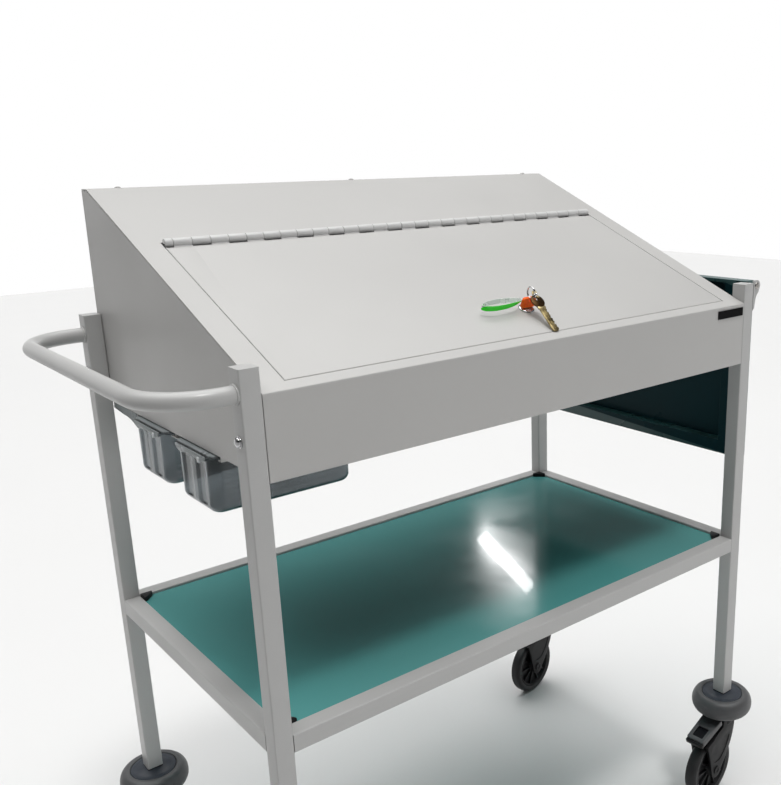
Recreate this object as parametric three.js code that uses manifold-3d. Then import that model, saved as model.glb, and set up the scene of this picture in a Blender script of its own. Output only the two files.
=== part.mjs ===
// Medicine trolley: a tubular frame on four castors that carries a lockable, desk-shaped cabinet
// over a shelf. A push handle and two bins are at the left end, a fold-down shelf at the right.
// Millimetres, +X along the trolley to the right, +Y to the back, +Z up, floor at z = 0.
import * as THREE from 'three';
import { mergeVertices } from 'three/addons/utils/BufferGeometryUtils.js';
import Module from 'manifold-3d';

// ---- driving dimensions ----
const GAP = 0.3; // clearance between pieces that meet

const LENGTH = 922; // over the legs
const DEPTH = 530;
const TUBE = 25; // square tube
const TUBE_WALL = 1.5;
const TUBE_CORNER = 2;
const LEG_BOTTOM = 211;
const LEG_TOP = 978;
const RAIL_TOP = 524;

const SHEET = 1.5; // folded sheet steel
const TRAY_DROP = 4; // shelf surface below the rails
const TRAY_FLANGE = 14;
const TRAY_CLIP = 8; // clipped corners beside the legs

const HANDLE_Z = 949;
const HANDLE_REACH = 89; // to the tube's centre line
const HANDLE_TUBE = 21.3;
const HANDLE_BEND = 75;

const CABINET_BOTTOM = 845;
const CABINET_FRONT_TOP = 947;
const RIDGE_Y = 498;
const RIDGE_Z = 1156;
const BACK_TOP_Y = 519;
const BACK_BOTTOM_Y = 529;

const LID_HALF = 398.5; // half the lid's length
const LID_FRONT = 19; // distances up the slope from the cabinet's front edge
const HINGE_AT = 358;
const LID_GAP = 1.6;
const LID_FLANGE = 14;

const KNUCKLE_PITCH = 26.2;
const KNUCKLE_COUNT = 31;
const KNUCKLE_RADIUS = 6;
const KNUCKLE_BORE = 3.2;
const PIN_RADIUS = 2.9;
const HINGE_LIFT = 2; // pin axis above the sheet's outer face
const LEAF = 1.2;
const LEAF_WIDTH = 20;

const LOCK_X = 478;
const LOCK_AT = 82;
const BARREL_RADIUS = 9.5;
const PLUG_RADIUS = 6;
const PLUG_TOP = 2.4; // plug face above the lid
const CAM_LENGTH = 76;
const CAM_TOP = -24;

const SHELF_PIVOT_X = 930.5;
const SHELF_PIVOT_Z = 973;
const SHELF_INNER_X = 926;
const SHELF_OUTER_X = 948;
const SHELF_TOP = 979.5;
const SHELF_BOTTOM = 667;
const SHELF_END_GAP = 18; // from the legs' outer faces to the shelf's ends

const BIN_CENTRE_X = 118;
const BIN_FRONT_Y = 199;
const BIN_PITCH = 148;
const BIN_BOTTOM = 765;
const BIN_TOP = 842;
const BIN_WALL = 2;

const CASTOR_WHEEL = 62.5;
const CASTOR_TRAIL = 38;
const BUFFER_RADIUS = 55;

const HANDLE_OUT = HANDLE_REACH + HANDLE_TUBE / 2;
const RIGHTMOST = LENGTH - TUBE / 2 + BUFFER_RADIUS;
const SLOPE = Math.atan2(RIDGE_Z - CABINET_FRONT_TOP, RIDGE_Y);
const SLOPE_LENGTH = Math.hypot(RIDGE_Z - CABINET_FRONT_TOP, RIDGE_Y);
const CABINET_LEFT = TUBE + GAP;
const CABINET_RIGHT = LENGTH - TUBE - GAP;
const CABINET_MID = LENGTH / 2;

// ---- finishes ----
const finish = (color, roughness, metalness) => new THREE.MeshStandardMaterial({ color, roughness, metalness });
const WHITE = finish(0xdcdcd8, 0.45, 0.1);
const GREEN = finish(0x3f8078, 0.2, 0.1);
const STEEL = finish(0xb9bcc0, 0.3, 0.9);
const BRASS = finish(0xb08d45, 0.35, 0.9);
const ORANGE = finish(0xff5a1e, 0.4, 0);
const STRAP = finish(0x2eb82e, 0.35, 0);
const BLACK = finish(0x16161a, 0.5, 0);
const GREY_RUBBER = finish(0x6a6c70, 0.7, 0);
const CLEAR = finish(0xb4c0c2, 0.15, 0);

const trolley = new THREE.Group();
trolley.position.set((HANDLE_OUT - RIGHTMOST) / 2, -DEPTH / 2, 0);
trolley.name = 'trolley';

// The slope group's X runs along the cabinet, Y up the slope and Z out of the sheet.
const slope = new THREE.Group();
slope.position.z = CABINET_FRONT_TOP;
slope.rotation.x = SLOPE;
trolley.add(slope);

function place(name, geometry, material, parent = trolley) {
  const mesh = new THREE.Mesh(geometry, material);
  mesh.name = name;
  parent.add(mesh);
  return mesh;
}

// ---- solids ----
const wasm = await Module();
wasm.setup();

// A closed geometry as a solid that can be cut and joined.
function solid(geometry) {
  const bare = geometry.index ? geometry.toNonIndexed() : geometry.clone();
  bare.deleteAttribute('normal');
  bare.deleteAttribute('uv');
  const merged = mergeVertices(bare, 1e-4);
  const corners = merged.index.array;
  const kept = [];
  for (let i = 0; i < corners.length; i += 3) {
    const [a, b, c] = corners.slice(i, i + 3);
    if (a !== b && b !== c && c !== a) kept.push(a, b, c);
  }
  const vertProperties = new Float32Array(merged.attributes.position.array);
  return new wasm.Manifold(new wasm.Mesh({ numProp: 3, vertProperties, triVerts: new Uint32Array(kept) }));
}

function shell(body) {
  const { vertProperties, triVerts } = body.getMesh();
  const geometry = new THREE.BufferGeometry();
  geometry.setAttribute('position', new THREE.BufferAttribute(vertProperties, 3));
  geometry.setIndex(new THREE.BufferAttribute(triVerts, 1));
  geometry.computeVertexNormals();
  return geometry;
}

const union = (parts) => parts.reduce((whole, part) => whole.add(part));

function box([x0, x1], [y0, y1], [z0, z1]) {
  const geometry = new THREE.BoxGeometry(x1 - x0, y1 - y0, z1 - z0);
  return geometry.translate((x0 + x1) / 2, (y0 + y1) / 2, (z0 + z1) / 2);
}

const block = (x, y, z) => solid(box(x, y, z));

// A round bar along an axis between two stations, centred on the other two coordinates.
function bar(axis, radius, [from, to], [u, v], sides = 16) {
  const geometry = new THREE.CylinderGeometry(radius, radius, to - from, sides);
  const middle = (from + to) / 2;
  if (axis === 'x') return geometry.rotateZ(Math.PI / 2).translate(middle, u, v);
  if (axis === 'y') return geometry.translate(u, middle, v);
  return geometry.rotateX(Math.PI / 2).translate(u, v, middle);
}

const rod = (...sizes) => solid(bar(...sizes));

function outline(points) {
  return new THREE.Shape(points.map(([x, y]) => new THREE.Vector2(x, y)));
}

function roundedRect(halfX, halfY, radius) {
  const shape = new THREE.Shape();
  const corners = [[1, 1, 0], [-1, 1, 1], [-1, -1, 2], [1, -1, 3]];
  for (const [sx, sy, quarter] of corners) {
    const start = quarter * Math.PI / 2;
    shape.absarc(sx * (halfX - radius), sy * (halfY - radius), radius, start, start + Math.PI / 2);
  }
  return shape;
}

const extrude = (shape, depth, curveSegments = 2) => (
  new THREE.ExtrudeGeometry(shape, { depth, bevelEnabled: false, curveSegments }));

// A (y, z) outline made into a plate or rail that runs along X from one station to the other.
function alongX(points, [from, to]) {
  const geometry = extrude(outline(points), to - from);
  geometry.rotateX(Math.PI / 2).rotateZ(Math.PI / 2);
  return geometry.translate(from, 0, 0);
}

// An (x, z) outline made into a plate that runs along Y from one station to the other.
function alongY(points, [from, to]) {
  const geometry = extrude(outline(points), to - from);
  return geometry.rotateX(Math.PI / 2).translate(0, to, 0);
}

// A lathe turned about Z, from (radius, z) points.
function turned(points, sides) {
  const profile = points.map(([r, z]) => new THREE.Vector2(r, z));
  return new THREE.LatheGeometry(profile, sides).rotateX(Math.PI / 2);
}

// ---- frame ----
const BOLT_Z = 896;
const BOLT_RADIUS = 3;
const legSpots = [
  ['front_left', 0, 0],
  ['front_right', LENGTH - TUBE, 0],
  ['rear_left', 0, DEPTH - TUBE],
  ['rear_right', LENGTH - TUBE, DEPTH - TUBE],
];

// A leg is closed at the top and open below, where the castor's stem goes in.
function leg(x, y) {
  const centre = [x + TUBE / 2, y + TUBE / 2];
  const tube = extrude(roundedRect(TUBE / 2, TUBE / 2, TUBE_CORNER), LEG_TOP - LEG_BOTTOM);
  tube.translate(...centre, LEG_BOTTOM);
  const inside = [TUBE_WALL, TUBE - TUBE_WALL];
  const hollow = block(inside.map((d) => x + d), inside.map((d) => y + d), [LEG_BOTTOM - 1, LEG_TOP - 2]);
  const boltHole = rod('x', BOLT_RADIUS + GAP, [x - 1, x + TUBE + 1], [centre[1], BOLT_Z], 8);
  return shell(solid(tube).subtract(hollow).subtract(boltHole));
}

for (const [spot, x, y] of legSpots) place(`leg_${spot}`, leg(x, y), WHITE);

// A rail is an open-ended square tube between two legs.
function rail(length) {
  const half = TUBE / 2;
  const shape = roundedRect(half, half, TUBE_CORNER);
  const inner = half - TUBE_WALL;
  shape.holes.push(outline([[-inner, -inner], [-inner, inner], [inner, inner], [inner, -inner]]));
  return extrude(shape, length - 2 * GAP).translate(0, 0, GAP);
}

const railZ = RAIL_TOP - TUBE / 2;
for (const [side, y] of [['front', TUBE / 2], ['rear', DEPTH - TUBE / 2]]) {
  place(`rail_${side}`, rail(LENGTH - 2 * TUBE).rotateY(Math.PI / 2).translate(TUBE, y, railZ), WHITE);
}
for (const [side, x] of [['left', TUBE / 2], ['right', LENGTH - TUBE / 2]]) {
  place(`rail_${side}`, rail(DEPTH - 2 * TUBE).rotateX(-Math.PI / 2).translate(x, TUBE, railZ), WHITE);
}

// The shelf is a pan with its edges turned down between the rails.
function shelfTray() {
  const [x0, x1] = [TUBE + GAP, LENGTH - TUBE - GAP];
  const [y0, y1] = [TUBE + GAP, DEPTH - TUBE - GAP];
  const c = TRAY_CLIP;
  const rim = [[x0 + c, y0], [x1 - c, y0], [x1, y0 + c], [x1, y1 - c], [x1 - c, y1], [x0 + c, y1],
    [x0, y1 - c], [x0, y0 + c]];
  const top = RAIL_TOP - TRAY_DROP;
  const pan = extrude(outline(rim), TRAY_FLANGE).translate(0, 0, top - TRAY_FLANGE);
  const wide = [x0 + c, x1 - c];
  const deep = [y0 + c, y1 - c];
  const under = [top - TRAY_FLANGE - 1, top - SHEET];
  const hollow = block([x0 + SHEET, x1 - SHEET], deep, under)
    .add(block(wide, [y0 + SHEET, y1 - SHEET], under));
  return shell(solid(pan).subtract(hollow));
}

place('shelf_tray', shelfTray(), GREEN);

// The handle is one bent tube whose ends meet the left legs.
const ROUND = 0.5523; // control-point reach that makes a cubic curve follow a quarter circle

function pushHandle() {
  const [front, rear] = [TUBE / 2, DEPTH - TUBE / 2];
  const arcStart = HANDLE_REACH - HANDLE_BEND;
  const path = new THREE.CurvePath();
  const at = (x, y) => new THREE.Vector3(x, y, HANDLE_Z);
  const pulled = (from, to) => from.clone().lerp(to, ROUND);
  const bend = (a, corner, b) => {
    const [start, middle, end] = [at(...a), at(...corner), at(...b)];
    path.add(new THREE.CubicBezierCurve3(start, pulled(start, middle), pulled(end, middle), end));
  };
  const straight = (a, b) => path.add(new THREE.LineCurve3(at(...a), at(...b)));
  straight([-GAP, front], [-arcStart, front]);
  bend([-arcStart, front], [-HANDLE_REACH, front], [-HANDLE_REACH, front + HANDLE_BEND]);
  straight([-HANDLE_REACH, front + HANDLE_BEND], [-HANDLE_REACH, rear - HANDLE_BEND]);
  bend([-HANDLE_REACH, rear - HANDLE_BEND], [-HANDLE_REACH, rear], [-arcStart, rear]);
  straight([-arcStart, rear], [-GAP, rear]);
  const radius = HANDLE_TUBE / 2;
  const section = new THREE.Shape().absarc(0, 0, radius, 0, 2 * Math.PI);
  section.holes.push(new THREE.Path().absarc(0, 0, radius - TUBE_WALL, 0, 2 * Math.PI, true));
  return new THREE.ExtrudeGeometry(section, { steps: 40, extrudePath: path, curveSegments: 6 });
}

place('push_handle', pushHandle(), WHITE);

// Dome-headed bolts run through each leg and the cabinet's side panel.
function throughBolt(direction) {
  const reach = TUBE + 4;
  const bolt = turned([[0, -reach], [BOLT_RADIUS, -reach], [BOLT_RADIUS, GAP], [6.2, GAP], [6.2, 1.4],
    [4.6, 4], [2.4, 5.4], [0, 5.8]], 10);
  return bolt.rotateY(direction * Math.PI / 2);
}

for (const [spot, x, y] of legSpots) {
  const outward = x === 0 ? -1 : 1;
  const face = x === 0 ? 0 : LENGTH;
  place(`cabinet_bolt_${spot}`, throughBolt(outward).translate(face, y + TUBE / 2, BOLT_Z), STEEL);
}

// ---- cabinet ----
const SHEET_DROP = SHEET / Math.cos(SLOPE); // vertical depth of the sloping sheet
const underSlope = (y) => CABINET_FRONT_TOP - SHEET_DROP + y * Math.tan(SLOPE) - 2 * GAP;
const backY = (z) => {
  const rise = (z - CABINET_BOTTOM) / (RIDGE_Z - CABINET_BOTTOM);
  return BACK_BOTTOM_Y + rise * (BACK_TOP_Y - BACK_BOTTOM_Y);
};
const cabinetSpan = [CABINET_LEFT, CABINET_RIGHT];
const insideSpan = [CABINET_LEFT + SHEET + GAP, CABINET_RIGHT - SHEET - GAP];
const ridgeUnder = RIDGE_Z - SHEET - GAP;

place('cabinet_front', box(cabinetSpan, [0, SHEET], [CABINET_BOTTOM, underSlope(0)]), WHITE);

const backPanel = [
  [backY(CABINET_BOTTOM), CABINET_BOTTOM],
  [backY(ridgeUnder), ridgeUnder],
  [backY(ridgeUnder) - SHEET, ridgeUnder],
  [backY(CABINET_BOTTOM) - SHEET, CABINET_BOTTOM],
];
place('cabinet_back', alongX(backPanel, cabinetSpan), WHITE);

const floorBack = backY(CABINET_BOTTOM) - SHEET - 2 * GAP;
place('cabinet_floor', box(insideSpan, [SHEET + GAP, floorBack], [CABINET_BOTTOM, CABINET_BOTTOM + SHEET]), WHITE);

function sidePanel(x) {
  const wedge = [
    [SHEET + GAP, CABINET_BOTTOM],
    [floorBack, CABINET_BOTTOM],
    [backY(ridgeUnder) - SHEET - 2 * GAP, ridgeUnder - GAP],
    [RIDGE_Y + 1, ridgeUnder - GAP],
    [SHEET + GAP, underSlope(SHEET + GAP)],
  ];
  const panel = solid(alongX(wedge, [x, x + SHEET]));
  const holes = [TUBE / 2, DEPTH - TUBE / 2].map((y) => (
    rod('x', BOLT_RADIUS + GAP, [x - 1, x + SHEET + 1], [y, BOLT_Z], 8)));
  return shell(panel.subtract(union(holes)));
}

place('cabinet_side_left', sidePanel(CABINET_LEFT), WHITE);
place('cabinet_side_right', sidePanel(CABINET_RIGHT - SHEET), WHITE);

// The top sheet is folded at the ridge and cut out for the lid. The opening's ends are folded down
// and in, as rests for the lid's side flanges.
const openingSpan = [CABINET_MID - LID_HALF - LID_GAP, CABINET_MID + LID_HALF + LID_GAP];
const stripEdge = HINGE_AT + KNUCKLE_RADIUS + 0.5;
const REST_WIDTH = 12;
const REST_TOP = -LID_FLANGE - GAP;

function lidRest(edge, inward) {
  const angle = [
    [edge - inward * SHEET, REST_TOP - SHEET],
    [edge + inward * REST_WIDTH, REST_TOP - SHEET],
    [edge + inward * REST_WIDTH, REST_TOP],
    [edge, REST_TOP],
    [edge, -SHEET / 2],
    [edge - inward * SHEET, -SHEET / 2],
  ];
  if (inward < 0) angle.reverse();
  return solid(alongY(angle, [LID_FRONT + 8, HINGE_AT - LEAF_WIDTH - 8]));
}

function topSheet() {
  const ridgeDepth = BACK_TOP_Y - RIDGE_Y;
  const back = [SLOPE_LENGTH + ridgeDepth * Math.cos(SLOPE), -ridgeDepth * Math.sin(SLOPE)];
  const fold = SHEET * Math.tan(SLOPE / 2);
  const profile = [
    [0, 0],
    [0, -SHEET],
    [SLOPE_LENGTH - fold, -SHEET],
    [back[0] - SHEET * Math.sin(SLOPE), back[1] - SHEET * Math.cos(SLOPE)],
    back,
    [SLOPE_LENGTH, 0],
  ];
  const opening = block(openingSpan, [LID_FRONT - LID_GAP, stripEdge], [-SHEET - 1, 1]);
  const sheet = solid(alongX(profile, cabinetSpan)).subtract(opening);
  return shell(union([sheet, lidRest(openingSpan[0], 1), lidRest(openingSpan[1], -1)]));
}

place('cabinet_top', topSheet(), WHITE, slope);

// Small fixing screws stand on the flat strip behind the ridge.
const SCREW_SPACING = 394;
const screwY = (RIDGE_Y + BACK_TOP_Y) / 2;
for (const [index, side] of ['left', 'middle', 'right'].entries()) {
  const screw = turned([[0, GAP], [4.5, GAP], [4.2, 1.2], [2.4, 2], [0, 2.2]], 12);
  screw.translate(CABINET_MID + 6 + (index - 1) * SCREW_SPACING, screwY, RIDGE_Z);
  place(`ridge_screw_${side}`, screw, WHITE);
}

const PLATE_SIZE = [66, 13.5];
const plateLeft = CABINET_RIGHT - 3.5 - PLATE_SIZE[0];
const plateTop = CABINET_FRONT_TOP - 5.5;
place('nameplate', box([plateLeft, plateLeft + PLATE_SIZE[0]], [-GAP - 1, -GAP],
  [plateTop - PLATE_SIZE[1], plateTop]), BLACK);

// ---- lid, in the slope frame ----
const lidSpan = [CABINET_MID - LID_HALF, CABINET_MID + LID_HALF];
const lidBack = HINGE_AT - KNUCKLE_RADIUS - 0.5;

function lidPan() {
  const pan = block(lidSpan, [LID_FRONT, lidBack], [-LID_FLANGE, 0]);
  const hollow = block([lidSpan[0] + SHEET, lidSpan[1] - SHEET], [LID_FRONT + SHEET, lidBack + 1],
    [-LID_FLANGE - 1, -SHEET]);
  const lockHole = rod('z', BARREL_RADIUS + GAP, [-SHEET - 1, 1], [LOCK_X, LOCK_AT], 16);
  return shell(pan.subtract(hollow).subtract(lockHole));
}

place('lid', lidPan(), WHITE, slope);

// The piano hinge: knuckles take turns between the two leaves, and the first one is cut short.
const firstKnuckle = lidSpan[1] - KNUCKLE_PITCH * KNUCKLE_COUNT;

function knuckle(index) {
  const start = Math.max(firstKnuckle + index * KNUCKLE_PITCH, lidSpan[0]);
  const end = firstKnuckle + (index + 1) * KNUCKLE_PITCH;
  const span = [start + GAP / 2, end - GAP / 2];
  const barrel = rod('x', KNUCKLE_RADIUS, span, [HINGE_AT, HINGE_LIFT], 10);
  return { span, barrel };
}

function hingeLeaf(side) {
  const plateTop = -SHEET - GAP;
  const height = [plateTop - LEAF, plateTop];
  const near = HINGE_AT + side * (KNUCKLE_RADIUS + 0.4);
  const far = HINGE_AT + side * LEAF_WIDTH;
  const parts = [block([lidSpan[0] + 2, lidSpan[1] - 2], [Math.min(near, far), Math.max(near, far)], height)];
  const ownTurn = side > 0 ? 0 : 1;
  for (let index = 0; index < KNUCKLE_COUNT; index += 1) {
    if (index % 2 !== ownTurn) continue;
    const { span, barrel } = knuckle(index);
    const reach = [Math.min(HINGE_AT, near + side), Math.max(HINGE_AT, near + side)];
    parts.push(barrel, block(span, reach, [height[0], height[1] - GAP]));
  }
  const bore = rod('x', KNUCKLE_BORE, [lidSpan[0] - 1, lidSpan[1] + 1], [HINGE_AT, HINGE_LIFT], 8);
  return shell(union(parts).subtract(bore));
}

place('hinge_leaf_fixed', hingeLeaf(1), WHITE, slope);
place('hinge_leaf_lid', hingeLeaf(-1), WHITE, slope);
place('hinge_pin', bar('x', PIN_RADIUS, lidSpan, [HINGE_AT, HINGE_LIFT], 8), STEEL, slope);

// ---- lock, in a group centred on the lock with Z out of the lid ----
const lock = new THREE.Group();
lock.position.set(LOCK_X, LOCK_AT, 0);
slope.add(lock);

const barrelProfile = [
  [PLUG_RADIUS + 0.2, -22], [BARREL_RADIUS, -22], [BARREL_RADIUS, GAP], [12, GAP], [12, 1.2], [10.8, 2.2],
  [PLUG_RADIUS + 0.2, 2.2], [PLUG_RADIUS + 0.2, -22],
];
place('lock_barrel', turned(barrelProfile, 16), STEEL, lock);

const keySlot = block([-4.3, 4.3], [-1.3, 1.3], [-16, 6]);
const plug = rod('z', PLUG_RADIUS, [CAM_TOP + 1, PLUG_TOP], [0, 0], 16).subtract(keySlot);
const cam = block([-CAM_LENGTH, 9], [-7, 7], [CAM_TOP - 2, CAM_TOP]);
const camBoss = rod('z', 4, [CAM_TOP - 1, CAM_TOP + 2], [0, 0], 8);
place('lock_plug', shell(union([plug, camBoss, cam])), STEEL, lock);

// The cam swings under this tab when the lid is locked.
const keeperAt = LOCK_AT - CAM_LENGTH;
place('lock_keeper', box([LOCK_X - 12, LOCK_X + 12], [keeperAt, keeperAt + 8],
  [CAM_TOP + 1.4, -SHEET - GAP]), WHITE, slope);

const BOW_HALF = 12;
const BOW_HOLE_Z = 15.5;
const bow = extrude(roundedRect(BOW_HALF, 8, 3), 4, 3).rotateX(Math.PI / 2).translate(0, 2, 11);
const bowHole = rod('y', 3.2, [-4, 4], [0, BOW_HOLE_Z], 10);
const blade = block([-3.9, 3.9], [-1, 1], [-14, 4]);
place('key', shell(solid(bow).subtract(bowHole).add(blade)), ORANGE, lock);

const RING_RADIUS = 8;
const ringZ = BOW_HOLE_Z + RING_RADIUS;
const ring = new THREE.TorusGeometry(RING_RADIUS, 0.9, 6, 20).rotateY(Math.PI / 2).translate(0, 0, ringZ);
place('key_ring', ring, STEEL, lock);

// The spare key hangs from the ring and its tip comes down to the lid.
const spareHang = new THREE.Group();
spareHang.position.set(0, -RING_RADIUS, ringZ);
spareHang.rotation.x = THREE.MathUtils.degToRad(21);
lock.add(spareHang);
const spareBow = rod('z', 11, [-1.1, 1.1], [0, -7], 16).subtract(rod('z', 2.6, [-2, 2], [0, 0], 8));
const spareBlade = block([-4, 4], [-60, -16], [-1.1, 1.1]);
place('spare_key', shell(spareBow.add(spareBlade)), BRASS, spareHang);

// The strap is a flat loop of band that lies out to the left of the key.
function strapLoop() {
  const [halfLength, halfWidth, band] = [36, 11, 1];
  const shape = roundedRect(halfLength, halfWidth, halfWidth - 0.5);
  const inner = roundedRect(halfLength - band, halfWidth - band, halfWidth - band - 0.5);
  shape.holes.push(new THREE.Path(inner.getPoints(4)));
  return extrude(shape, 7, 4).translate(-BOW_HALF - 3 - halfLength, 4, 10);
}

place('key_strap', strapLoop(), STRAP, lock);

// ---- fold-down side shelf ----
// The shelf is a pan that hangs with its back to the trolley, stiffened by boxed hems.
const shelfEnds = [SHELF_END_GAP, DEPTH - SHELF_END_GAP];

function sideShelf() {
  const outer = block([SHELF_INNER_X, SHELF_OUTER_X], shelfEnds, [SHELF_BOTTOM, SHELF_TOP]);
  const recess = block([SHELF_INNER_X - 1, SHELF_OUTER_X - SHEET], [shelfEnds[0] + 43, shelfEnds[1] - 43],
    [SHELF_BOTTOM + 24, SHELF_TOP - 6]);
  const pivots = [shelfEnds[0] - 1, shelfEnds[1] - 21].map((y) => (
    rod('y', 4.3, [y, y + 22], [SHELF_PIVOT_X, SHELF_PIVOT_Z], 8)));
  const relief = [shelfEnds[0] - 1, shelfEnds[1] - 21].map((y) => (
    block([SHELF_INNER_X - 1, SHELF_PIVOT_X], [y, y + 22], [SHELF_PIVOT_Z - 5, SHELF_PIVOT_Z + 5])));
  return shell(outer.subtract(recess).subtract(union(pivots)).subtract(union(relief)));
}

place('side_shelf', sideShelf(), GREEN);

// A bracket is a cheek plate on the leg's outer side, with a round lobe about the pivot.
function shelfBracket(y) {
  const lobe = 9.5;
  const legFace = LENGTH + GAP;
  const shape = new THREE.Shape();
  shape.moveTo(legFace, 932);
  shape.lineTo(legFace + 4, 936);
  shape.lineTo(legFace + 6, 950);
  shape.quadraticCurveTo(legFace + 8, 958, legFace + 14, 962);
  shape.lineTo(SHELF_PIVOT_X + lobe, SHELF_PIVOT_Z);
  shape.absarc(SHELF_PIVOT_X, SHELF_PIVOT_Z, lobe, 0, Math.PI / 2);
  shape.lineTo(legFace, SHELF_PIVOT_Z + lobe);
  const plate = extrude(shape, 3, 5).rotateX(Math.PI / 2).translate(0, y + 3, 0);
  return shell(solid(plate).subtract(rod('y', 3.6, [y - 1, y + 4], [SHELF_PIVOT_X, SHELF_PIVOT_Z], 10)));
}

// A pivot bolt has its head outside the bracket and its shank in the shelf's end.
function pivotBolt(front) {
  const profile = [[0, -36], [3.4, -36], [3.4, GAP], [5.6, GAP], [5.2, 1.4], [3.2, 2.2], [0, 2.4]];
  const bolt = turned(profile, 10).rotateX(front ? Math.PI / 2 : -Math.PI / 2);
  return bolt.translate(SHELF_PIVOT_X, front ? 0 : DEPTH, SHELF_PIVOT_Z);
}

place('shelf_bracket_front', shelfBracket(0), WHITE);
place('shelf_bracket_rear', shelfBracket(DEPTH - 3), WHITE);
place('shelf_pivot_front', pivotBolt(true), STEEL);
place('shelf_pivot_rear', pivotBolt(false), STEEL);

// ---- bins and their runners ----
// A box whose plan grows evenly from the bottom to the top, with rounded corners.
function tapered(bottom, top, radius, [z0, z1]) {
  const height = z1 - z0;
  const geometry = extrude(roundedRect(bottom[0], bottom[1], radius), height, 3);
  const position = geometry.attributes.position;
  for (let i = 0; i < position.count; i += 1) {
    const rise = position.getZ(i) / height;
    position.setX(i, position.getX(i) * (1 + rise * (top[0] / bottom[0] - 1)));
    position.setY(i, position.getY(i) * (1 + rise * (top[1] / bottom[1] - 1)));
  }
  return geometry.translate(0, 0, z0);
}

const inset = ([x, y], d) => [x - d, y - d];
const BIN_FOOT = [98.5, 52];
const BIN_MOUTH = [99.5, 57];
const BIN_RIM = [102, 62];
const RIM_DEPTH = 3;
const LEDGE = 20; // length of the ledge behind the pull

function bin() {
  const walls = solid(tapered(BIN_FOOT, BIN_MOUTH, 12, [BIN_BOTTOM, BIN_TOP]));
  const rim = solid(tapered(BIN_RIM, BIN_RIM, 14, [BIN_TOP - RIM_DEPTH, BIN_TOP]));
  const pull = block([-BIN_RIM[0] - 1.5, -BIN_MOUTH[0] + 1], [-36, 36], [BIN_TOP - 9, BIN_TOP - 1]);
  const inside = solid(tapered(inset(BIN_FOOT, BIN_WALL), inset(BIN_MOUTH, BIN_WALL), 10,
    [BIN_BOTTOM + BIN_WALL, BIN_TOP + 1]));
  const ledge = walls.intersect(block([-BIN_RIM[0], -BIN_MOUTH[0] + LEDGE], [-BIN_RIM[1], BIN_RIM[1]],
    [BIN_TOP - RIM_DEPTH, BIN_TOP]));
  return shell(union([walls, rim, pull]).subtract(inside).add(ledge));
}

for (const [index, row] of ['front', 'rear'].entries()) {
  const mesh = place(`bin_${row}`, bin(), CLEAR);
  mesh.position.set(BIN_CENTRE_X, BIN_FRONT_Y + index * BIN_PITCH, 0);
}

const RUNNER_SPAN = [CABINET_LEFT + 2, BIN_CENTRE_X + BIN_RIM[0] + 4];
const runnerTop = CABINET_BOTTOM - GAP;
const lipTop = BIN_TOP - RIM_DEPTH - 0.6;
const lipBottom = lipTop - SHEET;
const between = BIN_FRONT_Y + BIN_PITCH / 2;

// A Z-shaped runner: its web hangs beside a bin's rim and its lip reaches in under the rim.
function sideRunner(web, inward) {
  const profile = [
    [web, runnerTop],
    [web, lipBottom],
    [web + inward * 8, lipBottom],
    [web + inward * 8, lipTop],
    [web + inward * SHEET, lipTop],
    [web + inward * SHEET, runnerTop],
  ];
  if (inward < 0) profile.reverse();
  return alongX(profile, RUNNER_SPAN);
}

const outerWeb = BIN_RIM[1] + BIN_PITCH / 2 + 3.5;
place('bin_runner_front', sideRunner(between - outerWeb, 1), WHITE);
place('bin_runner_rear', sideRunner(between + outerWeb, -1), WHITE);

const middleLip = 16;
const middleRunner = [
  [between - SHEET / 2, runnerTop],
  [between - SHEET / 2, lipTop],
  [between - middleLip, lipTop],
  [between - middleLip, lipBottom],
  [between + middleLip, lipBottom],
  [between + middleLip, lipTop],
  [between + SHEET / 2, lipTop],
  [between + SHEET / 2, runnerTop],
];
place('bin_runner_middle', alongX(middleRunner, RUNNER_SPAN), WHITE);

// ---- castors ----
// Each castor is drawn about its swivel axis with the wheel trailing toward -X, then turned.
const AXLE_RADIUS = 4;
const WHEEL_HALF = 12;
const FORK_HALF = 20;
const CROWN_TOP = 169.5;

const bufferProfile = [
  [0, 170], [28, 170], [44, 173.5], [51.5, 179], [BUFFER_RADIUS, 187], [BUFFER_RADIUS, 194],
  [51.5, 202.5], [46.5, 207], [41, 206], [38.5, 202.5], [17, LEG_BOTTOM - GAP], [9.5, LEG_BOTTOM - GAP],
  [9.5, 262], [0, 262],
];

function fork() {
  const [hubX, hubZ, hub, hood] = [-CASTOR_TRAIL, CASTOR_WHEEL, 16, CASTOR_WHEEL + 7.5];
  const side = new THREE.Shape();
  side.moveTo(18, CROWN_TOP);
  side.lineTo(17, 138);
  side.quadraticCurveTo(12, 100, -23, 58);
  side.absarc(hubX, hubZ, hub, -0.3, -2.8, true);
  side.quadraticCurveTo(-60, 98, -70.9, 124.3);
  side.absarc(hubX, hubZ, hood, Math.PI * 0.655, Math.PI * 0.56, true);
  side.quadraticCurveTo(-38, 142, -21, 146);
  side.lineTo(-18, CROWN_TOP);
  const cheeks = solid(extrude(side, 2 * FORK_HALF, 5).rotateX(Math.PI / 2).translate(0, FORK_HALF, 0));
  const slot = rod('y', CASTOR_WHEEL + 3, [-15, 15], [hubX, hubZ], 24);
  const crown = rod('z', 22, [146, CROWN_TOP], [0, 0], 16);
  const axle = rod('y', AXLE_RADIUS, [-FORK_HALF - 2, FORK_HALF + 2], [hubX, hubZ], 12);
  return shell(cheeks.add(crown).subtract(slot).add(axle));
}

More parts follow.
